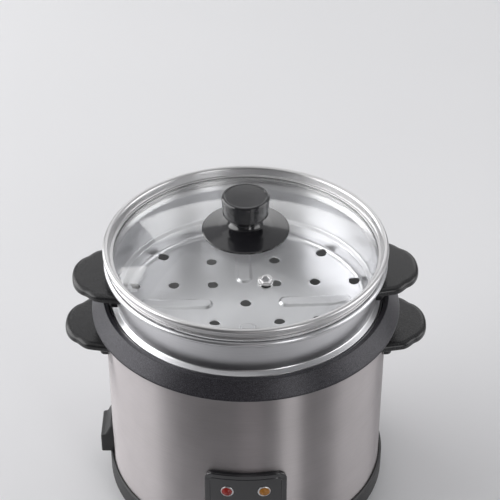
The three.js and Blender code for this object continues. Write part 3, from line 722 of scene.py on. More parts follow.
class Draft:
    """A mesh being drawn in millimetres."""

    def __init__(self) -> None:
        """Starts empty."""
        self.mesh = bmesh.new()

    def skin(self, corners: Iterable[bmesh.types.BMVert]) -> None:
        """Adds a face over its distinct corners, if there are enough.

        Args:
            corners: The face's corners in order, which may repeat.
        """
        kept = list(dict.fromkeys(corners))
        if len(kept) > 2:
            self.mesh.faces.new(kept)

    def weave(
        self, loops: Sequence[Sequence[Sequence[float]]], closed: bool = False
    ) -> list[list[bmesh.types.BMVert]]:
        """Joins loops of equal length in order with faces, one vertex for a loop of one point.

        Args:
            loops: The loops' points.
            closed: True if the last loop joins the first.

        Returns:
            The corners made for each loop.
        """
        count = max(len(loop) for loop in loops)
        rows = [[self.mesh.verts.new(p) for p in loop] for loop in loops]
        rows = [row * count if len(row) == 1 else row for row in rows]
        pairs = list(zip(rows, rows[1:]))
        if closed:
            pairs.append((rows[-1], rows[0]))
        for low, high in pairs:
            for k in range(count):
                n = (k + 1) % count
                self.skin((low[k], low[n], high[n], high[k]))
        return rows

    def spin(
        self, outline: Sequence[Point], closed: bool = True, facets: int = FACETS
    ) -> "Draft":
        """Turns an outline of (radius, height) points about Z.

        Args:
            outline: The points.
            closed: True if the last point joins the first.
            facets: Facets round the axis.

        Returns:
            The draft.
        """
        loops = []
        for radius, height in outline:
            circle = [(0.0, 0.0)] if radius < ON_AXIS else ring(radius, facets)
            loops.append([(x, y, height) for x, y in circle])
        self.weave(loops, closed)
        return self

    def loft(self, loops: Sequence[Sequence[Sequence[float]]]) -> "Draft":
        """Joins closed loops of equal length in order and caps both ends.

        Args:
            loops: The loops' points.

        Returns:
            The draft.
        """
        rows = self.weave(loops)
        self.skin(reversed(rows[0]))
        self.skin(rows[-1])
        return self

    def sheet(
        self,
        outline: list[Point],
        holes: Sequence[list[Point]],
        creases: Sequence[list[Point]],
        dots: Sequence[Point],
        top: Surface,
        under: Surface,
        open_rim: bool = False,
    ) -> "Draft":
        """Lays a pierced sheet: two skins joined round each hole.

        Args:
            outline: The closed loop round the sheet.
            holes: Closed loops cut out of it.
            creases: Closed loops that the skins' edges follow.
            dots: Further points of the skins.
            top: Height of the upper skin at (x, y).
            under: Height of the lower skin at (x, y).
            open_rim: True if other faces close the sheet round its outline.

        Returns:
            The draft.
        """
        points: list[Vector] = []
        edges: list[tuple[int, int]] = []
        for loop in (outline, *holes, *creases):
            first = len(points)
            points += [Vector(p) for p in loop]
            edges += [(first + i, first + (i + 1) % len(loop)) for i in range(len(loop))]
        points += [Vector(p) for p in dots]
        flat, _, triangles, *_ = delaunay_2d_cdt(points, edges, [], 0, 1e-6)
        border = Opening(outline)
        cuts = [Opening(hole) for hole in holes]
        kept = []
        for corners in triangles:
            x, y = sum((flat[i] for i in corners), Vector((0.0, 0.0))) / 3
            if border.holds(x, y) and not any(hole.holds(x, y) for hole in cuts):
                kept.append(corners)
        used = sorted({i for corners in kept for i in corners})
        upper = {i: self.mesh.verts.new((*flat[i], top(*flat[i]))) for i in used}
        lower = {i: self.mesh.verts.new((*flat[i], under(*flat[i]))) for i in used}
        walls: dict[tuple[int, int], tuple[int, int]] = {}
        for corners in kept:
            self.skin(upper[i] for i in corners)
            self.skin(lower[i] for i in reversed(corners))
            for i, j in zip(corners, (*corners[1:], corners[0])):
                key = (min(i, j), max(i, j))
                if key in walls:
                    del walls[key]
                else:
                    walls[key] = (i, j)
        rim = {(round(x, 3), round(y, 3)) for x, y in outline}
        for i, j in walls.values():
            on_rim = all((round(flat[k][0], 3), round(flat[k][1], 3)) in rim for k in (i, j))
            if not (open_rim and on_rim):
                self.skin((upper[j], upper[i], lower[i], lower[j]))
        return self

    def sweep(self, path: Sequence[Vector], radius: float, sides: int = 16) -> "Draft":
        """Sweeps a round bar along an open path.

        Args:
            path: The bar's centre line.
            radius: The bar's radius.
            sides: Facets round the bar.

        Returns:
            The draft.
        """
        rows = []
        across = None
        for i, here in enumerate(path):
            along = (path[min(i + 1, len(path) - 1)] - path[max(i - 1, 0)]).normalized()
            if across is None:
                across = along.orthogonal().normalized()
            across = (across - along * across.dot(along)).normalized()
            other = along.cross(across)
            rows.append([here + (across * x + other * y) * radius for x, y in ring(1.0, sides)])
        return self.loft(rows)

    def box(self, low: Sequence[float], high: Sequence[float], edge: float = 0.0) -> "Draft":
        """Adds a block with rounded edges between two corners.

        Args:
            low: The lowest corner.
            high: The highest corner.
            edge: Radius of the edges.

        Returns:
            The draft.
        """
        middle = [(a + b) / 2 for a, b in zip(low, high)]
        half = [(b - a) / 2 for a, b in zip(low, high)]
        signs = ((-1, -1), (1, -1), (1, 1), (-1, 1))
        plan = rounded([(x * half[0], y * half[1], edge) for x, y in signs], 4)
        steps = 4 if edge else 0
        rows = []
        for end in (-1, 1):
            for k in range(steps + 1)[::end]:
                a = math.pi / 2 * k / max(steps, 1)
                inset = edge * (1 - math.cos(a))
                height = middle[2] + end * (half[2] - edge * (1 - math.sin(a)))
                across, along = [(h - inset) / h for h in half[:2]]
                row = [(middle[0] + x * across, middle[1] + y * along, height) for x, y in plan]
                rows.append(row)
        return self.loft(rows)

    def move(self, matrix: Matrix) -> "Draft":
        """Moves everything drawn so far."""
        bmesh.ops.transform(self.mesh, matrix=matrix, verts=self.mesh.verts)
        return self

    def bend(self, way: Callable[[Vector], Sequence[float]]) -> "Draft":
        """Sends each corner drawn so far to a new place.

        Args:
            way: Gives the new place for an old one.

        Returns:
            The draft.
        """
        for corner in self.mesh.verts:
            corner.co = way(corner.co)
        return self

    def done(self, name: str, sharp: float = SHARP) -> Piece:
        """Turns the draft into an object in metres.

        Args:
            name: The object's name.
            sharp: Edges that turn by more than this many degrees stay sharp.

        Returns:
            The object.
        """
        bmesh.ops.remove_doubles(self.mesh, verts=self.mesh.verts, dist=1e-4)
        bmesh.ops.recalc_face_normals(self.mesh, faces=self.mesh.faces)
        bmesh.ops.scale(self.mesh, vec=(MM, MM, MM), verts=self.mesh.verts)
        data = bpy.data.meshes.new(name)
        self.mesh.to_mesh(data)
        self.mesh.free()
        made = placed(name, data)
        soften(made, sharp)
        return made


def placed(name: str, data: bpy.types.ID) -> Piece:
    """Puts a new object with this data in the scene.

    Args:
        name: The object's name.
        data: What it shows.

    Returns:
        The object.
    """
    made = bpy.data.objects.new(name, data)
    bpy.context.scene.collection.objects.link(made)
    return made


def soften(piece: Piece, sharp: float) -> None:
    """Shades a piece smooth apart from edges that turn by more than an angle in degrees."""
    piece.data.shade_smooth()
    piece.data.set_sharp_from_angle(angle=math.radians(sharp))


def combine(piece: Piece, how: str, tools: Sequence[Piece]) -> None:
    """Applies tools to a piece, one after another, and deletes them.

    Args:
        piece: The piece.
        how: Blender's word for the operation, DIFFERENCE or UNION.
        tools: The shapes to take away or to add.
    """
    for tool in tools:
        step = piece.modifiers.new("combine", "BOOLEAN")
        step.operation = how
        step.solver = "EXACT"
        step.object = tool
    graph = bpy.context.evaluated_depsgraph_get()
    data = bpy.data.meshes.new_from_object(piece.evaluated_get(graph), depsgraph=graph)
    piece.modifiers.clear()
    piece.data = data
    data.name = piece.name
    for tool in tools:
        bpy.data.objects.remove(tool)


def carve(piece: Piece, *tools: Piece, sharp: float = SHARP) -> None:
    """Cuts tools out of a piece; edges that turn by more than the angle stay sharp."""
    combine(piece, "DIFFERENCE", tools)
    soften(piece, sharp)


def merge(piece: Piece, other: Piece) -> None:
    """Makes one body of two that run into each other."""
    combine(piece, "UNION", [other])


def rod(
    radius: float, start: Sequence[float], end: Sequence[float], facets: int = 40
) -> Piece:
    """A round cutting tool between two points."""
    return Draft().sweep([Vector(start), Vector(end)], radius, facets).done("tool")


def block(low: Sequence[float], high: Sequence[float], edge: float = 0.0) -> Piece:
    """A square tool between two corners."""
    return Draft().box(low, high, edge).done("tool")


def node_box(node: str) -> tuple[Vector, Vector]:
    """Lowest and highest corner of a CAD node in millimetres."""
    low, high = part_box(node)
    return low / MM, high / MM


def node_centre(node: str) -> Vector:
    """Middle of a CAD node's box in millimetres."""
    low, high = node_box(node)
    return (low + high) / 2


def lifted(corners: Sequence[Sequence[float]], height: float) -> list[tuple[float, ...]]:
    """The corners of an outline raised by a height."""
    return [(c[0], c[1] + height, *c[2:]) for c in corners]


def turned(
    node: str,
    corners: Sequence[Sequence[float]],
    facets: int = FACETS,
    fillets: int = FILLET_STEPS,
) -> Draft:
    """Spins an outline whose heights are measured from the foot of a CAD node."""
    low, _ = node_box(node)
    return Draft().spin(rounded(lifted(corners, low.z), fillets), facets=facets)


# ---- sub-assemblies ----


@dataclass
class SubAssembly:
    """Pieces that are built and dressed together."""

    palette: Palette

    def paint(self, piece: Piece, slot: Slot) -> None:
        """Gives a piece its slot's material and no other."""
        piece.data.materials.clear()
        piece.data.materials.append(self.palette.material(slot))

    def fit(self, piece: Piece, body: Body, slot: Slot, *nodes: str) -> Piece:
        """Dresses a piece and lets it ride on its body.

        Args:
            piece: The piece, in place.
            body: The body it moves with.
            slot: The finish it takes.
            nodes: The CAD nodes it stands for.

        Returns:
            The piece.
        """
        self.paint(piece, slot)
        even = piece.modifiers.new("even_shading", "WEIGHTED_NORMAL")
        even.keep_sharp = True
        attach(piece, body.value)
        if nodes:
            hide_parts(*nodes)
        return piece

    def dress(self, node: str, slot: Slot) -> Piece:
        """Gives a CAD node that stays its finish and slightly broken edges.

        Args:
            node: The CAD node.
            slot: The finish it takes.

        Returns:
            The dressed piece.
        """
        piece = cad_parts[node]
        self.paint(piece, slot)
        broken = piece.modifiers.new("broken_edges", "BEVEL")
        broken.width = BROKEN_EDGE * MM
        broken.segments = 2
        broken.limit_method = "ANGLE"
        broken.angle_limit = math.radians(50)
        return piece

    def pan_screw(
        self, name: str, node: str, body: Body, axis: Vector, head: float, shank: float
    ) -> Piece:
        """Puts a pan-head screw with a cross recess in place of a CAD node.

        Args:
            name: The piece's name.
            node: The CAD node whose box it fills.
            body: The body it moves with.
            axis: The way that the screw points, from head to tip.
            head: Radius of the head.
            shank: Radius of the thread.

        Returns:
            The dressed screw.
        """
        low, high = node_box(node)
        length = abs((high - low).dot(axis))
        tall = head * 0.55
        outline = rounded([
            (0, 0), (head * 0.75, 0, head * 0.5), (head, tall * 0.7, 0.4), (head, tall, 0.1),
            (shank, tall),
        ])
        z = tall
        while z < length - shank - THREAD_PITCH:
            valley = (shank - THREAD_DEPTH, z + THREAD_PITCH * 0.45)
            outline += [(shank, z + 0.1), valley, (shank, z + THREAD_PITCH * 0.9)]
            z += THREAD_PITCH
        outline += [(shank * 0.35, length - 0.1), (0, length)]
        screw = Draft().spin(outline, facets=40).done(name)
        cross = ((CROSS_HALF, head * 0.55), (head * 0.55, CROSS_HALF))
        carve(screw, *[block((-x, -y, -1), (x, y, tall * 0.6)) for x, y in cross])
        turn = UP.rotation_difference(axis).to_matrix().to_4x4()
        middle = Matrix.Translation(node_centre(node) * MM)
        screw.data.transform(middle @ turn @ Matrix.Translation((0, 0, -length / 2 * MM)))
        return self.fit(screw, body, Slot.PLAIN_STEEL, node)


@dataclass
class Drum(SubAssembly):
    """The outside of the heater drum, with its rim, liner, skirt, base plate and feet."""

    sleeve_wall: float = 1.0
    lever_window_half: float = 7.0
    lever_window_drop: float = 10.0
    lever_window_rise: float = 4.0
    inlet_window_half: float = 15.9
    inlet_window_foot: float = 0.4
    inlet_window_top: float = 19.2
    vent_slots: int = 10
    vent_ring: float = 62.0
    bead_inner: float = 28.0
    bead_outer: float = 36.0
    bead_flank: float = 2.0
    foot_peg: float = 3.6

    def build(self) -> Iterable[Piece]:
        """Builds and dresses each piece in turn.

        Yields:
            Each dressed piece.
        """
        yield self.sleeve()
        yield self.rim()
        yield self.liner()
        yield self.skirt()
        yield self.base()
        yield self.dress("keep_warm_band", Slot.MICA_BAND)
        for node in FEET:
            yield self.foot(node)
        for node in BASE_SCREWS:
            yield self.pan_screw(f"bottom_{node}", node, Body.COOKER, UP, 4.0, 1.8)

    def sleeve(self) -> Piece:
        """The brushed sleeve, pierced for the lever, the lamps and the inlet.

        Returns:
            The dressed piece.
        """
        low, high = node_box("outer_shell")
        radius = high.x
        inner = radius - self.sleeve_wall
        outline = [(inner, low.z), (radius, low.z), (radius, high.z), (inner, high.z)]
        sleeve = Draft().spin(rounded([(*p, 0.3) for p in outline])).done("drum_sleeve")
        outside, inside = -radius - 5, -radius + 8
        middle = node_centre("cook_lever").z
        foot, top = middle - self.lever_window_drop, middle + self.lever_window_rise
        half = self.lever_window_half
        tools = [block((-half, outside, foot), (half, inside, top))]
        for lamp in LAMPS:
            spot = node_centre(lamp)
            tools.append(rod(LAMP_BORE, (spot.x, -125, spot.z), (spot.x, -108, spot.z)))
        hood, _ = node_box("inlet_housing")
        foot, top = hood.z + self.inlet_window_foot, hood.z + self.inlet_window_top
        half = self.inlet_window_half
        tools.append(block((outside, -half, foot), (inside, half, top)))
        carve(sleeve, *tools)
        return self.fit(sleeve, Body.COOKER, Slot.BRUSHED_STEEL, "outer_shell")

    def rim(self) -> Piece:
        """The rim moulding, sloping down from its flat lip to a thin outer edge.

        Returns:
            The dressed piece.
        """
        corners = [
            (127.8, 1.2, 0.3), (128.6, 2.0, 0.5), (128.2, 3.2, 0.8), (118.9, 15.5, 1.0),
            (115.6, 15.5, 0.4), (115, 14.9, 0.4), (115, 11, 0.3), (110.3, 11, 0.4),
            (110.3, 9.1, 0.4), (114.9, 9.1), (114.9, 0), (116.5, 0), (116.5, 8.7), (118.5, 8.7),
            (118.5, 4), (120.1, 4), (120.1, 10.2), (126.4, 2.6, 0.2),
        ]
        rim = turned("rim_ring", corners).done("drum_rim")
        return self.fit(rim, Body.COOKER, Slot.RIM_PLASTIC, "rim_ring")

    def liner(self) -> Piece:
        """The inner can that the pot stands in, with two holes for the element's tails.

        Returns:
            The dressed piece.
        """
        corners = [
            (19, 0, 0.3), (107, 0, 3), (110, 3, 2), (110, 143.7), (113.3, 143.7, 0.2),
            (113.3, 144.7, 0.2), (109, 144.7, 0.3), (109, 3.6, 2), (106.6, 1.2, 2), (19, 1.2, 0.3),
        ]
        liner = turned("inner_liner", corners).done("inner_can")
        foot = node_box("inner_liner")[0].z
        ends = [(side * 10.8, 67.1) for side in (-1, 1)]
        carve(liner, *[rod(4.4, (x, y, foot - 3), (x, y, foot + 4)) for x, y in ends])
        return self.fit(liner, Body.COOKER, Slot.POT_ALUMINIUM, "inner_liner")

    def skirt(self) -> Piece:
        """The black skirt that holds the sleeve's lower edge.

        Returns:
            The dressed piece.
        """
        corners = [
            (104, 2.6, 0.2), (116, 2.6, 0.3), (117, 0, 0.3), (119.4, 0, 0.8), (121, 2, 1.2),
            (121, 18, 0.8), (119.8, 19.5, 0.7), (118.5, 19.5, 0.2), (118.5, 12.5), (116.4, 12.5),
            (116.4, 19.5, 0.2), (113.8, 19.5, 0.2), (113.8, 5.2), (104, 5.2, 0.2),
        ]
        skirt = turned("base_skirt", corners).done("bottom_skirt")
        spots = [node_centre(node) for node in BASE_SCREWS]
        carve(skirt, *[rod(2.25, (s.x, s.y, 5), (s.x, s.y, 14), 30) for s in spots])
        return self.fit(skirt, Body.COOKER, Slot.BLACK_PLASTIC, "base_skirt")

    def base(self) -> Piece:
        """The pressed base plate with its air slots and a ring bead.

        Returns:
            The dressed piece.
        """
        low, high = node_box("base_plate")
        holes = []
        for angle in spread(math.pi / self.vent_slots, self.vent_slots):
            slot = round_rectangle(12, 2, 1.9, (self.vent_ring, 0))
            holes.append([tuple(Matrix.Rotation(angle, 2) @ Vector(p)) for p in slot])
        for nodes, radius in ((FEET, 4.0), (BASE_SCREWS, 2.2)):
            spots = [node_centre(node) for node in nodes]
            holes += [ring(radius, 32, (spot.x, spot.y)) for spot in spots]
        inner, outer, flank = self.bead_inner, self.bead_outer, self.bead_flank
        creases = [ring(r, 120) for r in (inner, inner + flank, outer - flank, outer)]
        dots = [p for r in (12, 20, 45, 78, 100) for p in ring(r, 60)]

        def press(x: float, y: float) -> float:
            """Height of the ring bead."""
            away = math.hypot(x, y)
            return min(max((away - inner) / flank, 0.0), max((outer - away) / flank, 0.0), 1.0)

        plate = Draft().sheet(
            ring(high.x, 120), holes, creases, dots,
            lambda x, y: high.z + press(x, y), lambda x, y: low.z + press(x, y),
        )
        pressing = plate.done("base_plate_pressing")
        return self.fit(pressing, Body.COOKER, Slot.PLAIN_STEEL, "base_plate")

    def foot(self, node: str) -> Piece:
        """A push-in rubber foot with a hollow tread and a barb.

        Args:
            node: The CAD node it stands for.

        Returns:
            The dressed piece.
        """
        centre = node_centre(node)
        peg = self.foot_peg
        corners = [
            (0, 1.2), (4.5, 1.2, 0.3), (5.2, 0, 0.4), (8.5, 0, 0.8), (9.6, 1.2, 0.8),
            (10.6, 7.7, 0.3), (peg, 7.7), (peg, 9.5), (peg + 1.2, 9.5, 0.2), (3, 12.4, 0.5),
            (0, 12.4),
        ]
        foot = turned(node, corners, 64).move(Matrix.Translation((centre.x, centre.y, 0)))
        return self.fit(foot.done(f"rubber_{node}"), Body.COOKER, Slot.FOOT_RUBBER, node)


@dataclass
class Heater(SubAssembly):
    """The hotplate, its element and the sprung thermostat in its middle."""

    element_ring: float = 68.0
    element_tube: float = 3.2
    gap_angle: float = 0.16
    tail_bend: float = 5.0
    cap_travel: float = 2.0
    spring_turns: int = 4
    spring_ring: float = 12.3
    spring_wire: float = 0.7

    def build(self) -> Iterable[Piece]:
        """Builds and dresses each piece in turn.

        Yields:
            Each dressed piece.
        """
        yield self.hotplate()
        yield self.element()
        yield self.cap()
        yield self.spring()
        yield self.housing()
        yield self.armature()
        for i in (1, 2, 3):
            yield self.dress(f"plate_standoff_{i}", Slot.CERAMIC_WHITE)
        yield self.dress("thermal_fuse", Slot.CERAMIC_WHITE)

    def element_path(self) -> list[Vector]:
        """The element's centre line: up one tail, round the plate and down the other.

        Returns:
            Points along the centre line.
        """
        low, high = node_box("heating_element")
        height = high.z - self.element_tube
        start = math.pi / 2 + self.gap_angle
        sweep = math.tau - 2 * self.gap_angle
        round_trip = [start + sweep * k / 160 for k in range(161)]
        reach, bend = self.element_ring, self.tail_bend
        path = [Vector((reach * math.cos(a), reach * math.sin(a), height)) for a in round_trip]
        turn_down = [math.pi / 2 * k / 6 for k in range(1, 7)]
        tails = []
        for end, step in ((path[0], path[0] - path[1]), (path[-1], path[-1] - path[-2])):
            out = step.normalized() * 0.6
            tail = []
            for a in turn_down:
                drop = Vector((0, 0, (math.cos(a) - 1) * bend))
                tail.append(end + out * math.sin(a) * bend * 0.2 + drop)
            tail.append(Vector((tail[-1].x, tail[-1].y, low.z + 1.0)))
            tails.append(tail)
        return [*reversed(tails[0]), *path, *tails[1]]

    def element(self) -> Piece:
        """The sheathed element cast under the plate."""
        made = Draft().sweep(self.element_path(), self.element_tube, 20).done("ring_element")
        return self.fit(made, Body.COOKER, Slot.PLAIN_STEEL, "heating_element")

    def hotplate(self) -> Piece:
        """The cast plate, turned smooth on top, with a groove below for the element.

        Returns:
            The dressed piece.
        """
        groove = self.element_ring
        room = self.element_tube + 0.5
        corners = [
            (19, 0, 0.3), (groove - room, 0),
            *[(x, max(y, 0.0)) for x, y in arc((groove, 0.9), room, 180, 0, 16)],
            (groove + room, 0), (84, 0, 1.2), (86, 2, 1.2), (86, 4.6, 1.5), (82, 7.2, 4),
            (20, 7.6, 0.6), (19, 6.6, 0.6),
        ]
        plate = turned("heating_plate", corners).done("cast_hotplate")
        return self.fit(plate, Body.COOKER, Slot.CAST_ALUMINIUM, "heating_plate")

    def cap(self) -> Piece:
        """The thermostat's cap, which the pot presses down; heights are from its top.

        Returns:
            The dressed piece.
        """
        _, high = node_box("sensor_cap")
        corners = [
            (0, -1.1), (16.4, -1.1, 0.4), (16.4, -10), (17.5, -10), (17.5, -1, 1.0),
            (16.2, 0, 1.2), (6, 0, 1), (5, -0.35, 1), (0, -0.35),
        ]
        cap = Draft().spin(rounded(lifted(corners, high.z)), facets=120).done("thermostat_cap")
        return self.fit(cap, Body.SENSOR, Slot.SATIN_ALUMINIUM, "sensor_cap")

    def spring(self) -> Piece:
        """The coil spring under the cap.

        Returns:
            The dressed piece.
        """
        low, high = node_box("sensor_spring")
        wire, reach = self.spring_wire, self.spring_ring
        steps = 48 * self.spring_turns
        rise = high.z - low.z - 2 * wire
        path = []
        for k in range(steps + 1):
            a = math.tau * self.spring_turns * k / steps
            height = low.z + wire + rise * k / steps
            path.append(Vector((reach * math.cos(a), reach * math.sin(a), height)))
        spring = Draft().sweep(path, wire, 12).done("thermostat_spring")
        self.fit(spring, Body.COOKER, Slot.PLAIN_STEEL, "sensor_spring")
        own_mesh(spring)
        return spring

    def housing(self) -> Piece:
        """The drawn cup that guides the cap.

        Returns:
            The dressed piece.
        """
        corners = [
            (3.2, 0, 0.2), (15.9, 0, 1), (15.9, 7.4, 0.3), (25, 7.4, 0.3), (25, 8.7, 0.3),
            (15.9, 8.7, 0.3), (15.9, 16, 0.3), (14.9, 16, 0.3), (14.9, 1.2, 0.6), (3.2, 1.2, 0.2),
        ]
        cup = turned("sensor_housing", corners, 96).done("thermostat_cup")
        return self.fit(cup, Body.COOKER, Slot.PLAIN_STEEL, "sensor_housing")

    def armature(self) -> Piece:
        """The disc and rod that the lever pushes up to the magnet.

        Returns:
            The dressed piece.
        """
        corners = [
            (0, 0), (1.5, 0, 0.4), (2.4, 1, 0.4), (2.4, 14.7), (9, 14.7, 0.5), (9, 18.2, 0.5),
            (0, 18.2),
        ]
        disc = turned("magnet_armature", corners, 64).done("magnet_disc")
        return self.fit(disc, Body.ARMATURE, Slot.PLAIN_STEEL, "magnet_armature")


@dataclass
class FrontPanel(SubAssembly):
    """The curved panel at the front, its lever, its lamps and the switchgear behind it."""

    corner: float = 8.0
    edge_round: float = 1.3
    border: float = 4.0
    groove_depth: float = 0.35
    longest_edge: float = 3.0
    slot_half: float = 7.0
    slot_drop: float = 10.5
    slot_rise: float = 3.8
    pad_half: float = 16.0
    pad_height: float = 15.0
    pad_ribs: int = 3
    rib_pitch: float = 3.2
    bezel_bore: float = 3.9
    lens_dome: float = 6.2

    def build(self) -> Iterable[Piece]:
        """Builds and dresses each piece in turn.

        Yields:
            Each dressed piece.
        """
        yield self.panel()
        yield self.lever()
        for node, slot in zip(LAMPS, (Slot.RED_LENS, Slot.AMBER_LENS)):
            yield self.lens(node, slot)
            yield self.bezel(node)
        for node in ("link_arm", "lever_bracket"):
            yield self.dress(node, Slot.PLAIN_STEEL)
        yield self.pin()
        yield self.dress("micro_switch", Slot.BLACK_PLASTIC)
        yield self.dress("terminal_block", Slot.CERAMIC_WHITE)

    def panel(self) -> Piece:
        """The glossy panel, laid flat, pierced, and wrapped round the sleeve.

        Returns:
            The dressed piece.
        """
        low, high = node_box("control_panel")
        _, shell = node_box("outer_shell")
        outer = -low.y
        inner = shell.x + 0.3
        half_x = outer * math.asin(high.x / outer)
        half_z = (high.z - low.z) / 2
        middle = (high.z + low.z) / 2
        thick = outer - inner
        corner, border, soft = self.corner, self.border, self.edge_round

        edge_insets = [soft * (1 - math.cos(math.pi / 2 * k / 6)) for k in range(1, 7)]
        groove_insets = [border + step for step in (0.0, 0.4, 0.9, 1.3)]
        loops = [(i, i) for i in edge_insets] + [(i, i * 0.8) for i in groove_insets]
        loops = [round_rectangle(half_x - i, half_z - i, corner - trim) for i, trim in loops]
        creases = [split(loop, self.longest_edge) for loop in loops]

        pad = node_centre("cook_lever")
        foot, top_end = pad.z - self.slot_drop - middle, pad.z + self.slot_rise - middle
        slot_middle = (0, (top_end + foot) / 2)
        slot = round_rectangle(self.slot_half, (top_end - foot) / 2, 1.5, slot_middle)
        holes = [split(slot, self.longest_edge)]
        for lamp in LAMPS:
            spot = node_centre(lamp)
            place = (outer * math.asin(spot.x / outer), spot.z - middle)
            holes.append(ring(LAMP_BORE, 40, place))
        cuts = [Opening(hole) for hole in holes]
        columns = int(half_x // 2)
        rows = (-24, -14, -5, 5, 14, 24)
        dots = [(2.0 * i, z) for i in range(-columns, columns + 1) for z in rows]
        dots = [p for p in dots if inside_depth(*p, half_x, half_z, corner) > border + 2]
        dots = [p for p in dots if not any(cut.holds(*p) for cut in cuts)]

        def top(x: float, y: float) -> float:
            """Height of the face, with its rounded edge and its groove.

            Args:
                x: Place across the face.
                y: Place up the face.

            Returns:
                The height.
            """
            depth = inside_depth(x, y, half_x, half_z, corner)
            drop = 0.0
            if depth < soft:
                drop = soft - math.sqrt(max(soft * soft - (soft - max(depth, 0.0)) ** 2, 0.0))
            groove = self.groove_depth if border + 0.2 < depth < border + 1.1 else 0.0
            return thick - drop - groove

        def wrap(p: Vector) -> tuple[float, float, float]:
            """Bends the flat face round the sleeve.

            Args:
                p: A point of the flat face.

            Returns:
                Its place on the sleeve.
            """
            a = p.x / outer
            reach = inner + p.z
            return (reach * math.sin(a), -reach * math.cos(a), p.y + middle)

        outline = split(round_rectangle(half_x, half_z, corner), self.longest_edge)
        draft = Draft().sheet(outline, holes, creases, dots, top, lambda x, y: 0.0)
        face = draft.bend(wrap).done("front_panel")
        return self.fit(face, Body.COOKER, Slot.GLOSS_BLACK, "control_panel")

    def lever(self) -> Piece:
        """The cook lever: a ribbed finger pad on a stem with a leg behind the panel.

        Returns:
            The dressed piece.
        """
        low, high = node_box("cook_lever")
        pad_low, pad_high = high.z - self.pad_height, high.z
        front, back = low.y, high.y
        pad = Draft().box((-self.pad_half, pad_low, 0), (self.pad_half, pad_high, 4.0), 1.5)
        pad.bend(lambda p: (p.x, front + 4.6 - p.z + 0.012 * (p.x / 4) ** 2, p.y))
        lever = pad.done("cook_lever_moulding")
        for k in range(self.pad_ribs):
            z = (pad_low + pad_high) / 2 + (k - 1) * self.rib_pitch
            merge(lever, block((-9, front, z - 0.6), (9, front + 2.0, z + 0.6), 0.35))
        merge(lever, block((-5, -124.6, pad_low + 3.5), (5, back - 1.0, pad_low + 9.0), 0.6))
        merge(lever, block((-4.9, back - 8.5, low.z), (4.9, back, pad_low + 8.9), 0.6))
        soften(lever, 30.0)
        return self.fit(lever, Body.LEVER, Slot.GLOSS_BLACK, "cook_lever")

    def lens(self, node: str, slot: Slot) -> Piece:
        """A domed lamp lens that looks out of the panel.

        Args:
            node: The CAD node it stands for.
            slot: The colour of its lens.

        Returns:
            The dressed piece.
        """
        low, high = node_box(node)
        centre = node_centre(node)
        reach = high.y - low.y
        corners = [
            (0, 0), (3.4, 0, 0.2), (3.4, reach - 1.6, 1.0),
            *arc((0, reach - self.lens_dome), self.lens_dome, 30, 90, 8),
        ]
        draft = Draft().spin(rounded(corners), facets=64)
        draft.bend(lambda p: (p.x + centre.x, high.y - p.z, p.y + centre.z))
        return self.fit(draft.done(f"{node}_lens"), Body.COOKER, slot, node)

    def bezel(self, node: str) -> Piece:
        """A thin bright ring round a lamp's hole.

        Args:
            node: The CAD node of its lamp.

        Returns:
            The dressed piece.
        """
        low, _ = node_box("control_panel")
        centre = node_centre(node)
        outer = -low.y
        front = math.sqrt(outer**2 - centre.x**2)
        lean = math.asin(centre.x / outer)
        bore = self.bezel_bore
        corners = [
            (bore, 0.02), (5.3, 0.02, 0.1), (5.3, 0.5, 0.4), (4.6, 0.9, 0.3), (bore, 0.5, 0.3),
        ]

        def place(p: Vector) -> tuple[float, float, float]:
            """Turns the ring to face out of the curved panel.

            Args:
                p: A point of the flat ring.

            Returns:
                Its place on the panel.
            """
            side = p.x * math.cos(lean) + p.z * math.sin(lean)
            out = p.z * math.cos(lean) - p.x * math.sin(lean)
            return (centre.x + side, -front - out, centre.z + p.y)

        draft = Draft().spin(rounded(corners), facets=64).bend(place)
        return self.fit(draft.done(f"{node}_bezel"), Body.COOKER, Slot.POLISHED_STEEL)

    def pin(self) -> Piece:
        """The pivot pin with rounded ends.

        Returns:
            The dressed piece.
        """
        low, high = node_box("lever_pivot_pin")
        centre = (low + high) / 2
        half = (high.x - low.x) / 2
        outline = rounded([(0, -half), (2, -half, 0.5), (2, half, 0.5), (0, half)])
        draft = Draft().spin(outline, facets=40)
        draft.bend(lambda p: (p.z + centre.x, p.x + centre.y, p.y + centre.z))
        pin = draft.done("pivot_pin")
        return self.fit(pin, Body.COOKER, Slot.POLISHED_STEEL, "lever_pivot_pin")


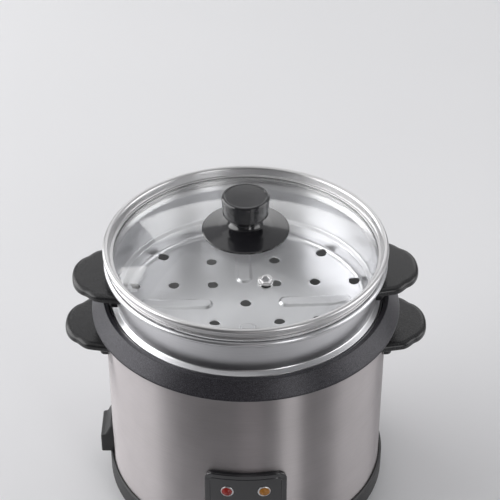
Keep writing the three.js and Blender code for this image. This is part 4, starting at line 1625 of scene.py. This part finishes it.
@dataclass
class Inlet(SubAssembly):
    """The power inlet on the drum's side."""

    half_width: float = 17.0
    recess_half: float = 13.0
    recess_back: float = -114.0
    boss_half: float = 15.5
    boss_back: float = -112.0
    edge_round: float = 1.6
    pin_bore: float = 2.5

    def build(self) -> Iterable[Piece]:
        """Builds and dresses each piece in turn.

        Yields:
            Each dressed piece.
        """
        yield self.hood()
        yield self.boss()
        for node in INLET_PINS:
            yield self.contact(node)

    def recess(self) -> Piece:
        """The tool that hollows out the socket.

        Returns:
            The tool.
        """
        low, _ = node_box("inlet_housing")
        half = self.recess_half
        start = (low.x - 5, -half, low.z + 2.2)
        return block(start, (self.recess_back, half, low.z + 17.2), 2.0)

    def hood(self) -> Piece:
        """The moulded hood that leans out from the sleeve, with its recess.

        Returns:
            The dressed piece.
        """
        low, high = node_box("inlet_housing")
        _, shell = node_box("outer_shell")
        root = -shell.x - 1.5
        outline = rounded([
            (low.x, low.z, 1.2), (-110, low.z), (-110, high.z), (root, high.z, 1.2),
            (root - 4.5, high.z - 9, 3), (low.x, high.z - 10, 1.6),
        ], 6)
        centre = (-116, (low.z + high.z) / 2)
        soft = self.edge_round
        rows = []
        for k in range(EDGE_STEPS + 1):
            a = math.pi / 2 * k / EDGE_STEPS
            rows.append((soft * (1 - math.sin(a)), -self.half_width + soft * (1 - math.cos(a))))
        rows += [(inset, -y) for inset, y in reversed(rows)]

        def shrink(p: Point, inset: float) -> Point:
            """Moves a point of the outline towards its middle."""
            away = [a - c for a, c in zip(p, centre)]
            return tuple(Vector(p) - Vector([math.copysign(min(abs(a), inset), a) for a in away]))

        loops = [[(x, y, z) for x, z in (shrink(p, i) for p in outline)] for i, y in rows]
        hood = Draft().loft(loops).done("inlet_hood")
        carve(hood, rod(shell.x + 0.35, (0, 0, 0), (0, 0, 130), FACETS))
        carve(hood, self.recess())
        return self.fit(hood, Body.COOKER, Slot.BLACK_PLASTIC, "inlet_housing")

    def boss(self) -> Piece:
        """The socket's inner block, which reaches in through the sleeve and holds the pins.

        Returns:
            The dressed piece.
        """
        low, _ = node_box("inlet_housing")
        root = -node_box("outer_shell")[1].x - 1.5
        half = self.boss_half
        far = (self.boss_back, half, low.z + 18.8)
        boss = Draft().box((root, -half, low.z + 0.8), far, 0.6).done("inlet_boss")
        spots = [node_centre(node) for node in INLET_PINS]
        bores = [rod(self.pin_bore, (-120, s.y, s.z), (-100, s.y, s.z), 32) for s in spots]
        carve(boss, self.recess(), *bores)
        return self.fit(boss, Body.COOKER, Slot.BLACK_PLASTIC)

    def contact(self, node: str) -> Piece:
        """A round contact pin with a domed tip and a shoulder.

        Args:
            node: The CAD node it stands for.

        Returns:
            The dressed piece.
        """
        low, high = node_box(node)
        centre = (low + high) / 2
        reach = high.x - low.x
        corners = [
            (0, 0), (2.2, 0, 0.2), (2.2, 3, 0.2), (1.9, 3.4, 0.2), (1.9, reach - 0.2, 1.6),
            (0, reach),
        ]
        draft = Draft().spin(rounded(corners, 8), facets=40)
        draft.bend(lambda p: (high.x - p.z, p.x + centre.y, p.y + centre.z))
        return self.fit(draft.done(f"{node}_contact"), Body.COOKER, Slot.BRASS_PIN, node)


@dataclass
class SideHandle(SubAssembly):
    """A phenolic side handle, shaped once for any wall and side."""

    reach: float = 34.4
    thickness: float = 6.5
    crown: float = 4.6
    top_round: float = 2.9
    under_round: float = 1.5
    root_half: float = 38.0
    lug_half: float = 25.0
    lug_drop: float = 17.8
    lug_curve: int = 10
    around: int = 96
    sharp: float = 30.0

    def plan(self) -> list[Point]:
        """The plate's edge from one root to the other, x measured from the wall.

        Returns:
            The open edge.
        """
        tip = self.reach
        half = bezier((-9, -self.root_half), (-1, -35.8), (6, -35), (12, -33.6), 16)
        half += bezier((12, -33.6), (18, -32.2), (20.5, -27), (23.6, -24.6), 14)[1:]
        half += bezier((23.6, -24.6), (29, -22), (tip - 0.4, -14), (tip, -4), 20)[1:]
        half += [(tip + 0.2 * (1 - (y / 4) ** 2), y) for y in (-3, -2, -1, 0)]
        return half + [(x, -y) for x, y in reversed(half[:-1])]

    def lug_plan(self, reach: float) -> list[Point]:
        """The lug's edge at one height.

        Args:
            reach: How far the lug stands out from the wall.

        Returns:
            The open edge.
        """
        soft = min(4.0, max(reach * 0.8, 0.5))
        half = self.lug_half
        corner = arc((reach - soft, -half + soft), soft, -90, 0, 8)
        return [(-9, -half), *corner, *[(x, -y) for x, y in reversed(corner)], (-9, half)]

    def inset_loop(self, line: list[Point], inset: float) -> list[Point]:
        """Moves an edge inwards and spaces its points evenly; its open side is in the wall.

        Args:
            line: The edge's points.
            inset: How far to move it.

        Returns:
            The moved edge.
        """
        moved = []
        for i, (x, y) in enumerate(line):
            before = Vector(line[max(i - 1, 0)])
            after = Vector(line[min(i + 1, len(line) - 1)])
            along = (after - before).normalized()
            moved.append((x - along.y * inset, y + along.x * inset))
        return spaced(moved, self.around)

    def plate(self) -> Draft:
        """The flat plate with a full round on its upper edge and a smaller one below.

        Returns:
            The draft.
        """
        levels: list[tuple[float, float]] = []
        for k in range(EDGE_STEPS + 3):
            a = math.pi / 2 * k / (EDGE_STEPS + 2)
            levels.append((self.crown * (1 - math.sin(a)), -self.top_round * (1 - math.cos(a))))
        for k in range(EDGE_STEPS + 1):
            a = math.pi / 2 * k / EDGE_STEPS
            height = self.under_round * (1 - math.sin(a)) - self.thickness
            levels.append((self.under_round * (1 - math.cos(a)), height))
        plan = self.plan()
        loops = [(self.inset_loop(plan, inset), z) for inset, z in levels]
        return Draft().loft([[(x, y, z) for x, y in loop] for loop, z in loops])

    def lug(self) -> Draft:
        """The lug that carries the plate down the wall, hollowed in front like a bracket.

        Returns:
            The draft.
        """
        levels = [(14.2, -self.top_round - 1.0), (13.8, -self.thickness)]
        for k in range(1, self.lug_curve + 1):
            t = k / self.lug_curve
            s = 1 - t
            x = 13.8 * s * s + 2 * 5.6 * s * t + 4.6 * t * t
            z = -self.thickness * s * s - 2 * 7.6 * s * t - (self.lug_drop - 1.5) * t * t
            levels.append((x, z))
        levels += [(4.3, 0.6 - self.lug_drop), (3.9, 0.15 - self.lug_drop), (3.2, -self.lug_drop)]
        loops = [(self.inset_loop(self.lug_plan(reach), 0.0), z) for reach, z in levels]
        return Draft().loft([[(x, y, z) for x, y in loop] for loop, z in loops])

    def fitted(
        self, name: str, node: str, wall: float, turn: float, tools: Sequence[Piece] = ()
    ) -> Piece:
        """Moulds a handle and places it.

        Args:
            name: The piece's name.
            node: The CAD node it stands for.
            wall: Radius of the wall it is fixed to.
            turn: How far it is turned about Z, in degrees.
            tools: Shapes to cut out, drawn for a handle that points at +X.

        Returns:
            The handle, not yet dressed.
        """
        _, high = node_box(node)
        lift = Matrix.Translation((wall, 0, high.z))
        handle = self.plate().move(lift).done(name, self.sharp)
        lug = self.lug().move(lift).done("lug")
        drum = rod(wall + 0.35, (0, 0, high.z - 40), (0, 0, high.z + 20), FACETS)
        merge(handle, lug)
        carve(handle, drum, *tools, sharp=self.sharp)
        handle.data.transform(Matrix.Rotation(math.radians(turn), 4, "Z"))
        return handle


@dataclass
class DrumHandles(SideHandle):
    """The two handles that are screwed to the drum."""

    def build(self) -> Iterable[Piece]:
        """Builds and dresses each piece in turn.

        Yields:
            Each dressed piece.
        """
        _, shell = node_box("outer_shell")
        for word, turn in SIDES:
            node = f"body_handle_{word}"
            screws = [f"body_handle_screw_{word}_{i}" for i in (1, 2)]
            spots = [node_centre(screw) for screw in screws]
            bores = [rod(1.9, (110.0, s.y, s.z), (127.0, s.y, s.z), 24) for s in spots]
            handle = self.fitted(f"drum_handle_{word}", node, shell.x, turn, bores)
            yield self.fit(handle, Body.COOKER, Slot.PHENOLIC, node)
            outwards = Vector((1.0 if word == "right" else -1.0, 0, 0))
            for screw in screws:
                yield self.pan_screw(f"drum_{screw}", screw, Body.COOKER, outwards, 3.6, 1.6)


@dataclass
class CookingPot(SubAssembly):
    """The spun pot that hangs in the drum."""

    inner: float = 105.0
    wall: float = 1.4
    corner: float = 10.0
    flange: float = 114.0

    def build(self) -> Iterable[Piece]:
        """Builds and dresses the pot.

        Yields:
            Each dressed piece.
        """
        low, high = node_box("inner_pot")
        inner, outer = self.inner, self.inner + self.wall
        top = high.z
        bend = (outer - self.corner, low.z + self.corner)
        outline: list[Point] = [(0, low.z), *arc(bend, self.corner, -90, 0, 14)]
        outline += rounded([
            (outer, top - 40), (outer, top - 2.4, 1), (outer + 1.2, top - 1.2, 0.5),
            (self.flange, top - 1.2, 0.4), (self.flange, top, 0.5), (outer + 0.6, top, 0.8),
            (inner, top - 1.8, 1.5), (inner, top - 40),
        ])
        outline += [*arc(bend, self.corner - self.wall, 0, -90, 14), (0, low.z + self.wall)]
        pot = Draft().spin(outline).done("cooking_pot")
        yield self.fit(pot, Body.POT, Slot.POT_ALUMINIUM, "inner_pot")


@dataclass
class Steamer(SideHandle):
    """The pressed steamer basket with its two handles."""

    turn: float = 2.5
    wall: float = 108.5
    floor_edge: float = 102.5
    corner_start: float = 98.7
    corner_round: float = 4.5
    sheet_thickness: float = 1.0
    hole: float = 4.5
    hole_lip: float = 0.45
    lip_dip: float = 0.28
    rib_inner: float = 27.0
    rib_outer: float = 90.0
    rib_half: float = 7.5
    rib_height: float = 1.7
    rib_slope: float = 3.2

    def build(self) -> Iterable[Piece]:
        """Builds and dresses each piece in turn.

        Yields:
            Each dressed piece.
        """
        yield self.basket()
        for word, side in SIDES:
            node = f"steamer_handle_{word}"
            _, high = node_box(node)
            bay = block((100, -8.6, high.z - 26.5), (127.6, 8.6, high.z - self.thickness))
            bore = rod(1.9, (121, 0, high.z - 20), (121, 0, high.z - 1.6), 24)
            turn = side + self.turn
            handle = self.fitted(f"basket_handle_{word}", node, self.wall, turn, (bay, bore))
            yield self.fit(handle, Body.STEAMER, Slot.PHENOLIC, node)
            yield self.dress(f"steamer_bracket_{word}", Slot.PLAIN_STEEL)
            screw = f"steamer_handle_screw_{word}"
            yield self.pan_screw(f"basket_{screw}", screw, Body.STEAMER, UP, 3.4, 1.6)

    def hole_spots(self) -> list[Point]:
        """Where the floor is pierced.

        Returns:
            The holes' centres.
        """
        rings = ((38.0, (0.0,)), (66.0, (-20.5, 20.5)), (97.3, (-28.8, 0.0, 28.8)))
        spots: list[Point] = [(0.0, 0.0)]
        for diagonal in (45, 135, 225, 315):
            for distance, offsets in rings:
                for offset in offsets:
                    a = math.radians(diagonal + offset)
                    spots.append((distance * math.cos(a), distance * math.sin(a)))
        return spots

    def rib_rise(self, x: float, y: float) -> float:
        """Height of the pressed ribs above the floor.

        Args:
            x: Place across the sheet.
            y: Place along the sheet.

        Returns:
            The height.
        """
        best = 0.0
        for along, across in ((x, y), (y, -x), (-x, -y), (-y, x)):
            off = along - (self.rib_inner + self.rib_outer) / 2
            half = (self.rib_outer - self.rib_inner) / 2
            depth = inside_depth(off, across, half, self.rib_half, self.rib_half - 0.3)
            share = min(max(depth / self.rib_slope, 0.0), 1.0)
            best = max(best, self.rib_height * share * share * (3 - 2 * share))
        return best

    def floor_height(self, distance: float, skin: float) -> float:
        """Height of the floor and its turned-up corner, a skin's depth from the inner face.

        Args:
            distance: How far out from the axis.
            skin: Depth under the inner face.

        Returns:
            The height.
        """
        over = max(distance - self.corner_start, 0.0)
        bend = self.corner_round + skin
        return self.sheet_thickness + self.corner_round - math.sqrt(bend**2 - over**2)

    def rib_creases(self) -> list[list[Point]]:
        """Loops that the floor's edges follow up the flanks of the four ribs.

        Returns:
            The loops.
        """
        half = (self.rib_outer - self.rib_inner) / 2
        middle = (self.rib_outer + self.rib_inner) / 2
        creases = []
        for angle in (0, 90, 180, 270):
            turn = Matrix.Rotation(math.radians(angle), 2)
            for share in (0.0, 0.15, 0.3, 0.5, 0.7, 0.85, 1.0):
                inset = share * self.rib_slope
                half_width = self.rib_half - inset
                loop = round_rectangle(half - inset, half_width, half_width - 0.3, (middle, 0))
                creases.append([tuple(turn @ Vector(p)) for p in loop])
        return creases

    def floor(self) -> Draft:
        """The pierced and ribbed floor, out to where its corner turns up.

        Returns:
            The draft.
        """
        spots = self.hole_spots()
        lip = self.hole + self.hole_lip
        creases = [ring(lip, 36, spot) for spot in spots] + self.rib_creases()
        rings = [(r, 48) for r in (12, 20, 30, 48, 58, 74, 82)]
        rings += [(r, FACETS) for r in (93.5, 98.7, 99.5, 100.3, 101.0, 101.6, 102.1)]
        dots = [p for r, count in rings for p in ring(r, count) if self.rib_rise(*p) == 0.0]
        dots = [p for p in dots if all(math.dist(p, spot) > lip + 0.35 for spot in spots)]

        def dip(x: float, y: float) -> float:
            """How far the floor dips at the lip of a hole."""
            near = min(math.dist((x, y), spot) for spot in spots)
            return self.lip_dip if near < self.hole + 0.2 else 0.0

        def skin(x: float, y: float, depth: float) -> float:
            """Height of one face of the sheet, at a depth under its upper one."""
            return self.floor_height(math.hypot(x, y), depth) + self.rib_rise(x, y)

        return Draft().sheet(
            ring(self.floor_edge, FACETS),
            [ring(self.hole, 36, spot) for spot in spots],
            creases,
            dots,
            lambda x, y: skin(x, y, 0.0) - dip(x, y),
            lambda x, y: skin(x, y, self.sheet_thickness),
            open_rim=True,
        )

    def wall_outline(self) -> list[Point]:
        """The stepped wall and its rolled edge, out from the floor and back to it.

        Returns:
            The outline's points.
        """
        edge = self.floor_edge
        bend = (self.corner_start, self.sheet_thickness + self.corner_round)
        inner, outer = self.corner_round, self.corner_round + self.sheet_thickness
        over = edge - bend[0]
        outer_lean, inner_lean = [math.degrees(math.acos(over / r)) for r in (outer, inner)]
        corners = [
            (edge, self.floor_height(edge, self.sheet_thickness)),
            *arc(bend, outer, -outer_lean, 0, 10)[1:],
            (104.2, 14, 0.3), (112.6, 14, 0.3), (113.2, 14.8, 0.4), (112.4, 16.2, 0.9),
            (108.5, 18.6, 1.6), (108.5, 43.2, 1.5), (109.8, 45.8, 1.2),
            *arc((114.2, 49.7), 2.5, -110, 190, 30),
            (109.2, 47.2, 1.2), (107.5, 44.2, 2), (107.5, 16.4, 1.6), (103.2, 15, 1.2),
            *arc(bend, inner, 0, -inner_lean, 10)[:-1],
            (edge, self.floor_height(edge, 0.0)),
        ]
        return rounded(corners)

    def basket(self) -> Piece:
        """The basket, one closed sheet from its floor to its rolled edge.

        Returns:
            The dressed piece.
        """
        low, _ = node_box("steamer_basket")
        draft = self.floor().spin(self.wall_outline(), closed=False)
        turn = Matrix.Rotation(math.radians(self.turn), 4, "Z")
        draft.move(Matrix.Translation((0, 0, low.z)) @ turn)
        basket = draft.done("steam_basket", 50.0)
        return self.fit(basket, Body.STEAMER, Slot.SATIN_ALUMINIUM, "steamer_basket")


@dataclass
class GlassLid(SubAssembly):
    """The domed glass in its rolled ring, with the knob and the steam eyelet."""

    edge: float = 110.0
    dome_foot: float = 108.0
    glass_thickness: float = 4.0
    foot_drop: float = 21.4
    screw_bore: float = 3.6
    vent_radius: float = 5.0
    collar: float = 4.9
    crest: float = field(init=False)

    def __post_init__(self) -> None:
        """Reads how high the dome's crest would stand without its hole."""
        self.crest = node_box("lid_glass")[1].z + 0.2

    def build(self) -> Iterable[Piece]:
        """Builds and dresses each piece in turn.

        Yields:
            Each dressed piece.
        """
        yield self.glass()
        yield self.rolled_ring()
        yield self.knob_disc()
        yield self.knob_cap()
        yield self.washer()
        yield self.pan_screw("knob_screw_pan", "knob_screw", Body.LID, UP, 5.0, 2.4)
        yield self.eyelet()

    def dome(self, radius: float, depth: float = 0.0) -> float:
        """Height of the dome at a distance from the axis, some way under its face."""
        sphere = (self.dome_foot**2 + self.foot_drop**2) / (2 * self.foot_drop)
        return self.crest - sphere + math.sqrt((sphere - depth) ** 2 - radius**2)

    def glass(self) -> Piece:
        """The dome, pierced for the knob's screw and the eyelet.

        Returns:
            The dressed piece.
        """
        spot = node_centre("vent_eyelet")
        vent = (spot.x, spot.y)
        holes = [ring(self.screw_bore, 36), ring(self.vent_radius, 36, vent)]
        radii = (6, 9, 13, 18, *range(24, 108, 6))
        dots = [p for r in radii for p in ring(r, FACETS if r > 60 else FACETS // 2)]
        dots = [p for p in dots if math.dist(p, vent) > self.vent_radius + 0.8]
        foot, thick = self.dome_foot, self.glass_thickness
        draft = Draft().sheet(
            ring(foot, FACETS), holes, [], dots,
            lambda x, y: self.dome(math.hypot(x, y)),
            lambda x, y: self.dome(math.hypot(x, y), thick),
            open_rim=True,
        )
        top, under = self.dome(foot), self.dome(foot, thick)
        corners = [(foot, under), (self.edge, under, 0.8), (self.edge, top, 0.8), (foot, top)]
        draft.spin(rounded(corners), closed=False)
        glass = draft.done("glass_dome", 50.0)
        glass.visible_shadow = False
        return self.fit(glass, Body.LID, Slot.LID_GLASS, "lid_glass")

    def rolled_ring(self) -> Piece:
        """The steel ring rolled round the glass, with its bead on top.

        Returns:
            The dressed piece.
        """
        low, high = node_box("lid_ring")
        crest = high.z - 2.5
        foot = low.z
        corners = [
            (107.6, foot, 0.3), (111, foot, 0.5), (111, foot + 3.1, 0.2), (114.4, foot + 3.1, 0.3),
            (114.4, foot + 4.1, 0.4), (113, foot + 4.7, 0.5), (113, foot + 9.6, 0.5),
            *arc((114.5, crest), 2.5, -80, 170, 30),
            (110.9, foot + 7.6, 0.5), (108.6, foot + 7.6, 0.4), (108.6, foot + 6.8, 0.2),
            (110.3, foot + 6.8), (110.3, foot + 1.7, 0.2), (107.6, foot + 1.7, 0.3),
        ]
        made = Draft().spin(rounded(corners)).done("lid_steel_ring")
        return self.fit(made, Body.LID, Slot.POLISHED_STEEL, "lid_ring")

    def knob_disc(self) -> Piece:
        """The knob's wide foot, sweeping up to its neck.

        Returns:
            The dressed piece.
        """
        low, high = node_box("knob_base")
        tall = high.z - low.z
        corners = [
            (2.8, 1.8), (18, 1.3, 4), (34.8, 0, 0.3), (35.6, 0.6, 0.4), (35.6, 1.5, 0.5),
            (34.8, 2, 1.2), (22, 4.3, 14), (13.6, 6.5, 6), (11.4, 9.5, 4), (11.4, 13, 1.5),
            (12.6, tall, 0.2), (2.8, tall),
        ]
        disc = turned("knob_base", corners, 144, 9).done("knob_foot")
        return self.fit(disc, Body.LID, Slot.GLOSS_BLACK, "knob_base")

    def knob_cap(self) -> Piece:
        """The part of the knob that fingers hold.

        Returns:
            The dressed piece.
        """
        low, high = node_box("knob_grip")
        tall = high.z - low.z
        corners = [
            (2.8, 0), (17.2, 0, 0.6), (18.5, 0.9, 0.8), (19.4, tall - 2.4, 6),
            (19.4, tall - 1.2, 0.9), (18.4, tall, 1.1), (17.0, tall, 0.5),
            (16.4, tall - 0.3, 0.4), (0, tall - 0.3), (0, tall - 5), (2.8, tall - 5),
        ]
        cap = turned("knob_grip", corners, 144, 8).done("knob_cap")
        return self.fit(cap, Body.LID, Slot.GLOSS_BLACK, "knob_grip")

    def washer(self) -> Piece:
        """The soft washer under the glass.

        Returns:
            The dressed piece.
        """
        low, high = node_box("knob_washer")
        tall = high.z - low.z
        corners = [(3, 0, 0.2), (9, 0, 0.4), (9, tall - 0.3, 0.4), (3, tall, 0.2)]
        made = turned("knob_washer", corners, 64).done("glass_washer")
        return self.fit(made, Body.LID, Slot.SILICONE, "knob_washer")

    def eyelet(self) -> Piece:
        """The rolled steam eyelet with a six-sided collar, standing square to the dome.

        Returns:
            The dressed piece.
        """
        spot = node_centre("vent_eyelet")
        away = math.hypot(spot.x, spot.y)
        under = -self.glass_thickness - 0.3
        corners = [
            (3.4, under - 0.9, 0.3), (6.1, under - 0.9, 0.4), (6.1, under, 0.3), (4.7, under),
            (4.7, 0.25), (6.1, 0.25, 0.2), (6.1, 0.75, 0.3), (5.2, 1.1, 0.3), (3.4, 1.15, 0.4),
        ]
        draft = Draft().spin(rounded(corners), facets=72)
        reach = self.collar
        six = [(reach * math.cos(a), reach * math.sin(a), 0.5) for a in spread(0.4, 6)]
        hexagon = rounded(six, 4)
        levels = ((1, 0.9), (1, 1.75), (0.93, 2.05), (0.66, 2.05), (0.6, 1.8), (0.58, 0.9))
        draft.weave([[(x * s, y * s, z) for x, y in hexagon] for s, z in levels], closed=True)
        slope = math.atan(self.dome(away - 0.5) - self.dome(away + 0.5))
        heading = Matrix.Rotation(math.atan2(spot.y, spot.x), 4, "Z")
        place = Matrix.Translation((spot.x, spot.y, self.dome(away))) @ heading
        draft.move(place @ Matrix.Rotation(slope, 4, "Y"))
        eyelet = draft.done("steam_eyelet", 30.0)
        return self.fit(eyelet, Body.LID, Slot.POLISHED_STEEL, "vent_eyelet")


# ---- studio ----


@dataclass(frozen=True)
class SoftBox:
    """A square studio light that looks at a point."""

    name: str
    place: tuple[float, float, float]
    size: tuple[float, float]
    power: float
    aim: tuple[float, float, float] = (0.0, 0.0, 0.2)
    tint: Colour = (1.0, 1.0, 1.0)

    def hang(self) -> Piece:
        """Hangs the light and returns it.

        Returns:
            The light.
        """
        data = bpy.data.lights.new(self.name, "AREA")
        data.shape = "RECTANGLE"
        data.size, data.size_y = self.size
        data.energy = self.power
        data.color = self.tint
        lamp = placed(self.name, data)
        lamp.location = self.place
        way = Vector(self.aim) - Vector(self.place)
        lamp.rotation_euler = way.to_track_quat("-Z", "Y").to_euler()
        lamp.visible_camera = False
        return lamp


LIGHTS = (
    SoftBox("top_light", (-0.4, 0.3, 2.5), (2.8, 2.4), 9.0, (0.0, 0.1, 0.0)),
    SoftBox("left_light", (-2.0, 0.35, 1.15), (3.2, 2.0), 56.0),
    SoftBox("front_card", (0.13, -2.2, 0.7), (0.6, 1.2), 1.2, tint=(1.0, 0.90, 0.93)),
    SoftBox("right_strip", (1.0, -1.6, 0.8), (0.5, 1.4), 6.5),
    SoftBox("right_light", (1.9, 0.0, 0.9), (1.6, 1.3), 13.0),
    SoftBox("back_light", (0.2, 2.2, 1.2), (2.4, 0.9), 9.0),
)


@dataclass
class Studio:
    """The pale sweep, the soft lights, the room and the camera; sizes here are metres."""

    distance: float = 1.2777
    elevation: float = 35.68
    aim_right: float = -4.31 / 1565.0
    aim_down: float = -8.33 / 1565.0
    focal_length: float = 112.68
    floor_front: float = 4.0
    floor_back: float = 2.6
    floor_half_width: float = 4.5
    bend: float = 1.4
    sweep_height: float = 3.0
    paper: Colour = (0.82, 0.82, 0.835)
    # Painted shade: a dark floor colour in front of the cooker, standing in for a dark front that
    # the cooker reflects.
    painted_front_shade: Colour = (0.10, 0.10, 0.103)
    painted_shade_fade: tuple[float, float] = (-0.50, -0.14)
    room_front: float = 0.06
    room_back: float = 0.52
    room_fade: tuple[float, float] = (-0.7, 0.8)
    room_tint: Colour = (0.98, 0.98, 1.0)

    def build(self) -> None:
        """Sets up the floor, the lights, the surroundings and the camera."""
        self.sweep()
        for box in LIGHTS:
            box.hang()
        self.surroundings()
        self.camera()

    def sweep(self) -> Piece:
        """A pale floor that curves up behind the cooker, with painted shade that darkens its
        colour well in front of it.

        Returns:
            The floor.
        """
        front, back, bend = self.floor_front, self.floor_back, self.bend
        profile = [(-front + (front + back) * k / 12, 0.0) for k in range(13)]
        profile += arc((back, bend), bend, -90, 0, 24)[1:]
        profile.append((back + bend, self.sweep_height))
        wide = self.floor_half_width
        mesh = bmesh.new()
        lines = [[mesh.verts.new((x, y, z)) for y, z in profile] for x in (-wide, 0.0, wide)]
        for one, other in zip(lines, lines[1:]):
            for a, b, c, d in zip(one, one[1:], other[1:], other):
                mesh.faces.new((a, d, c, b))
        data = bpy.data.meshes.new("studio_floor")
        mesh.to_mesh(data)
        mesh.free()
        data.shade_smooth()
        graph = Graph("studio_paper_painted_shade")
        cloud = graph.noise(graph.place, 1.2, detail=2.0)
        along = graph.node("ShaderNodeSeparateXYZ", {0: graph.place}).outputs[1]
        # Painted shade: the floor's colour fades to dark towards the front.
        shade = graph.add(graph.span(along, *self.painted_shade_fade, 0.0, 0.9), cloud, 0.1)
        graph.set("Base Color", graph.blend(shade, self.painted_front_shade, self.paper))
        graph.set("Roughness", graph.span(cloud, 0.3, 0.7, 0.8, 0.9))
        data.materials.append(graph.material)
        floor = placed("studio_floor", data)
        floor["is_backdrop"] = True
        return floor

    def surroundings(self) -> None:
        """A grey room that is dark at the front and paler at the back."""
        world = bpy.data.worlds.new("studio_room")
        bpy.context.scene.world = world
        world.use_nodes = True
        tree = world.node_tree
        way = tree.nodes.new("ShaderNodeTexCoord")
        parts = tree.nodes.new("ShaderNodeSeparateXYZ")
        fade = tree.nodes.new("ShaderNodeMapRange")
        values = (*self.room_fade, self.room_front, self.room_back)
        for name, value in zip(("From Min", "From Max", "To Min", "To Max"), values):
            fade.inputs[name].default_value = value
        background = tree.nodes["Background"]
        background.inputs["Color"].default_value = (*self.room_tint, 1.0)
        tree.links.new(way.outputs["Generated"], parts.inputs[0])
        tree.links.new(parts.outputs["Y"], fade.inputs["Value"])
        tree.links.new(fade.outputs["Result"], background.inputs["Strength"])

    def camera(self) -> Piece:
        """Sets the camera on the line through the lid's crest.

        Returns:
            The camera.
        """
        _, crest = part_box("lid_ring")
        tilt = math.radians(self.elevation)
        ahead = Vector((0.0, math.cos(tilt), -math.sin(tilt)))
        up = Vector((0.0, math.sin(tilt), math.cos(tilt)))
        way = ahead + Vector((self.aim_right, 0.0, 0.0)) - up * self.aim_down
        data = bpy.data.cameras.new("studio_camera")
        data.lens = self.focal_length
        data.sensor_width = 36.0
        eye = placed("studio_camera", data)
        eye.location = Vector((0.0, 0.0, crest.z)) - way.normalized() * self.distance
        eye.rotation_euler = (math.pi / 2 - tilt, 0.0, 0.0)
        bpy.context.scene.camera = eye
        bpy.context.scene.view_settings.view_transform = "Standard"
        return eye


def main() -> None:
    """Builds every sub-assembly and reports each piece."""
    logging.basicConfig(level=logging.INFO, format="%(name)s: %(message)s")
    palette = Palette()
    groups = (Drum, Heater, FrontPanel, Inlet, DrumHandles, CookingPot, Steamer, GlassLid)
    for group in groups:
        for piece in group(palette).build():
            faces = len(piece.data.polygons)
            LOG.info("%s: %s, %d faces", group.__name__, piece.name, faces)
    Studio().build()
    bpy.context.view_layer.update()
    boxes = {"cad": cad_bounds, "visual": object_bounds()}
    sizes = {name: [list(corner) for corner in box] for name, box in boxes.items()}


if __name__ == "__main__":
    main()
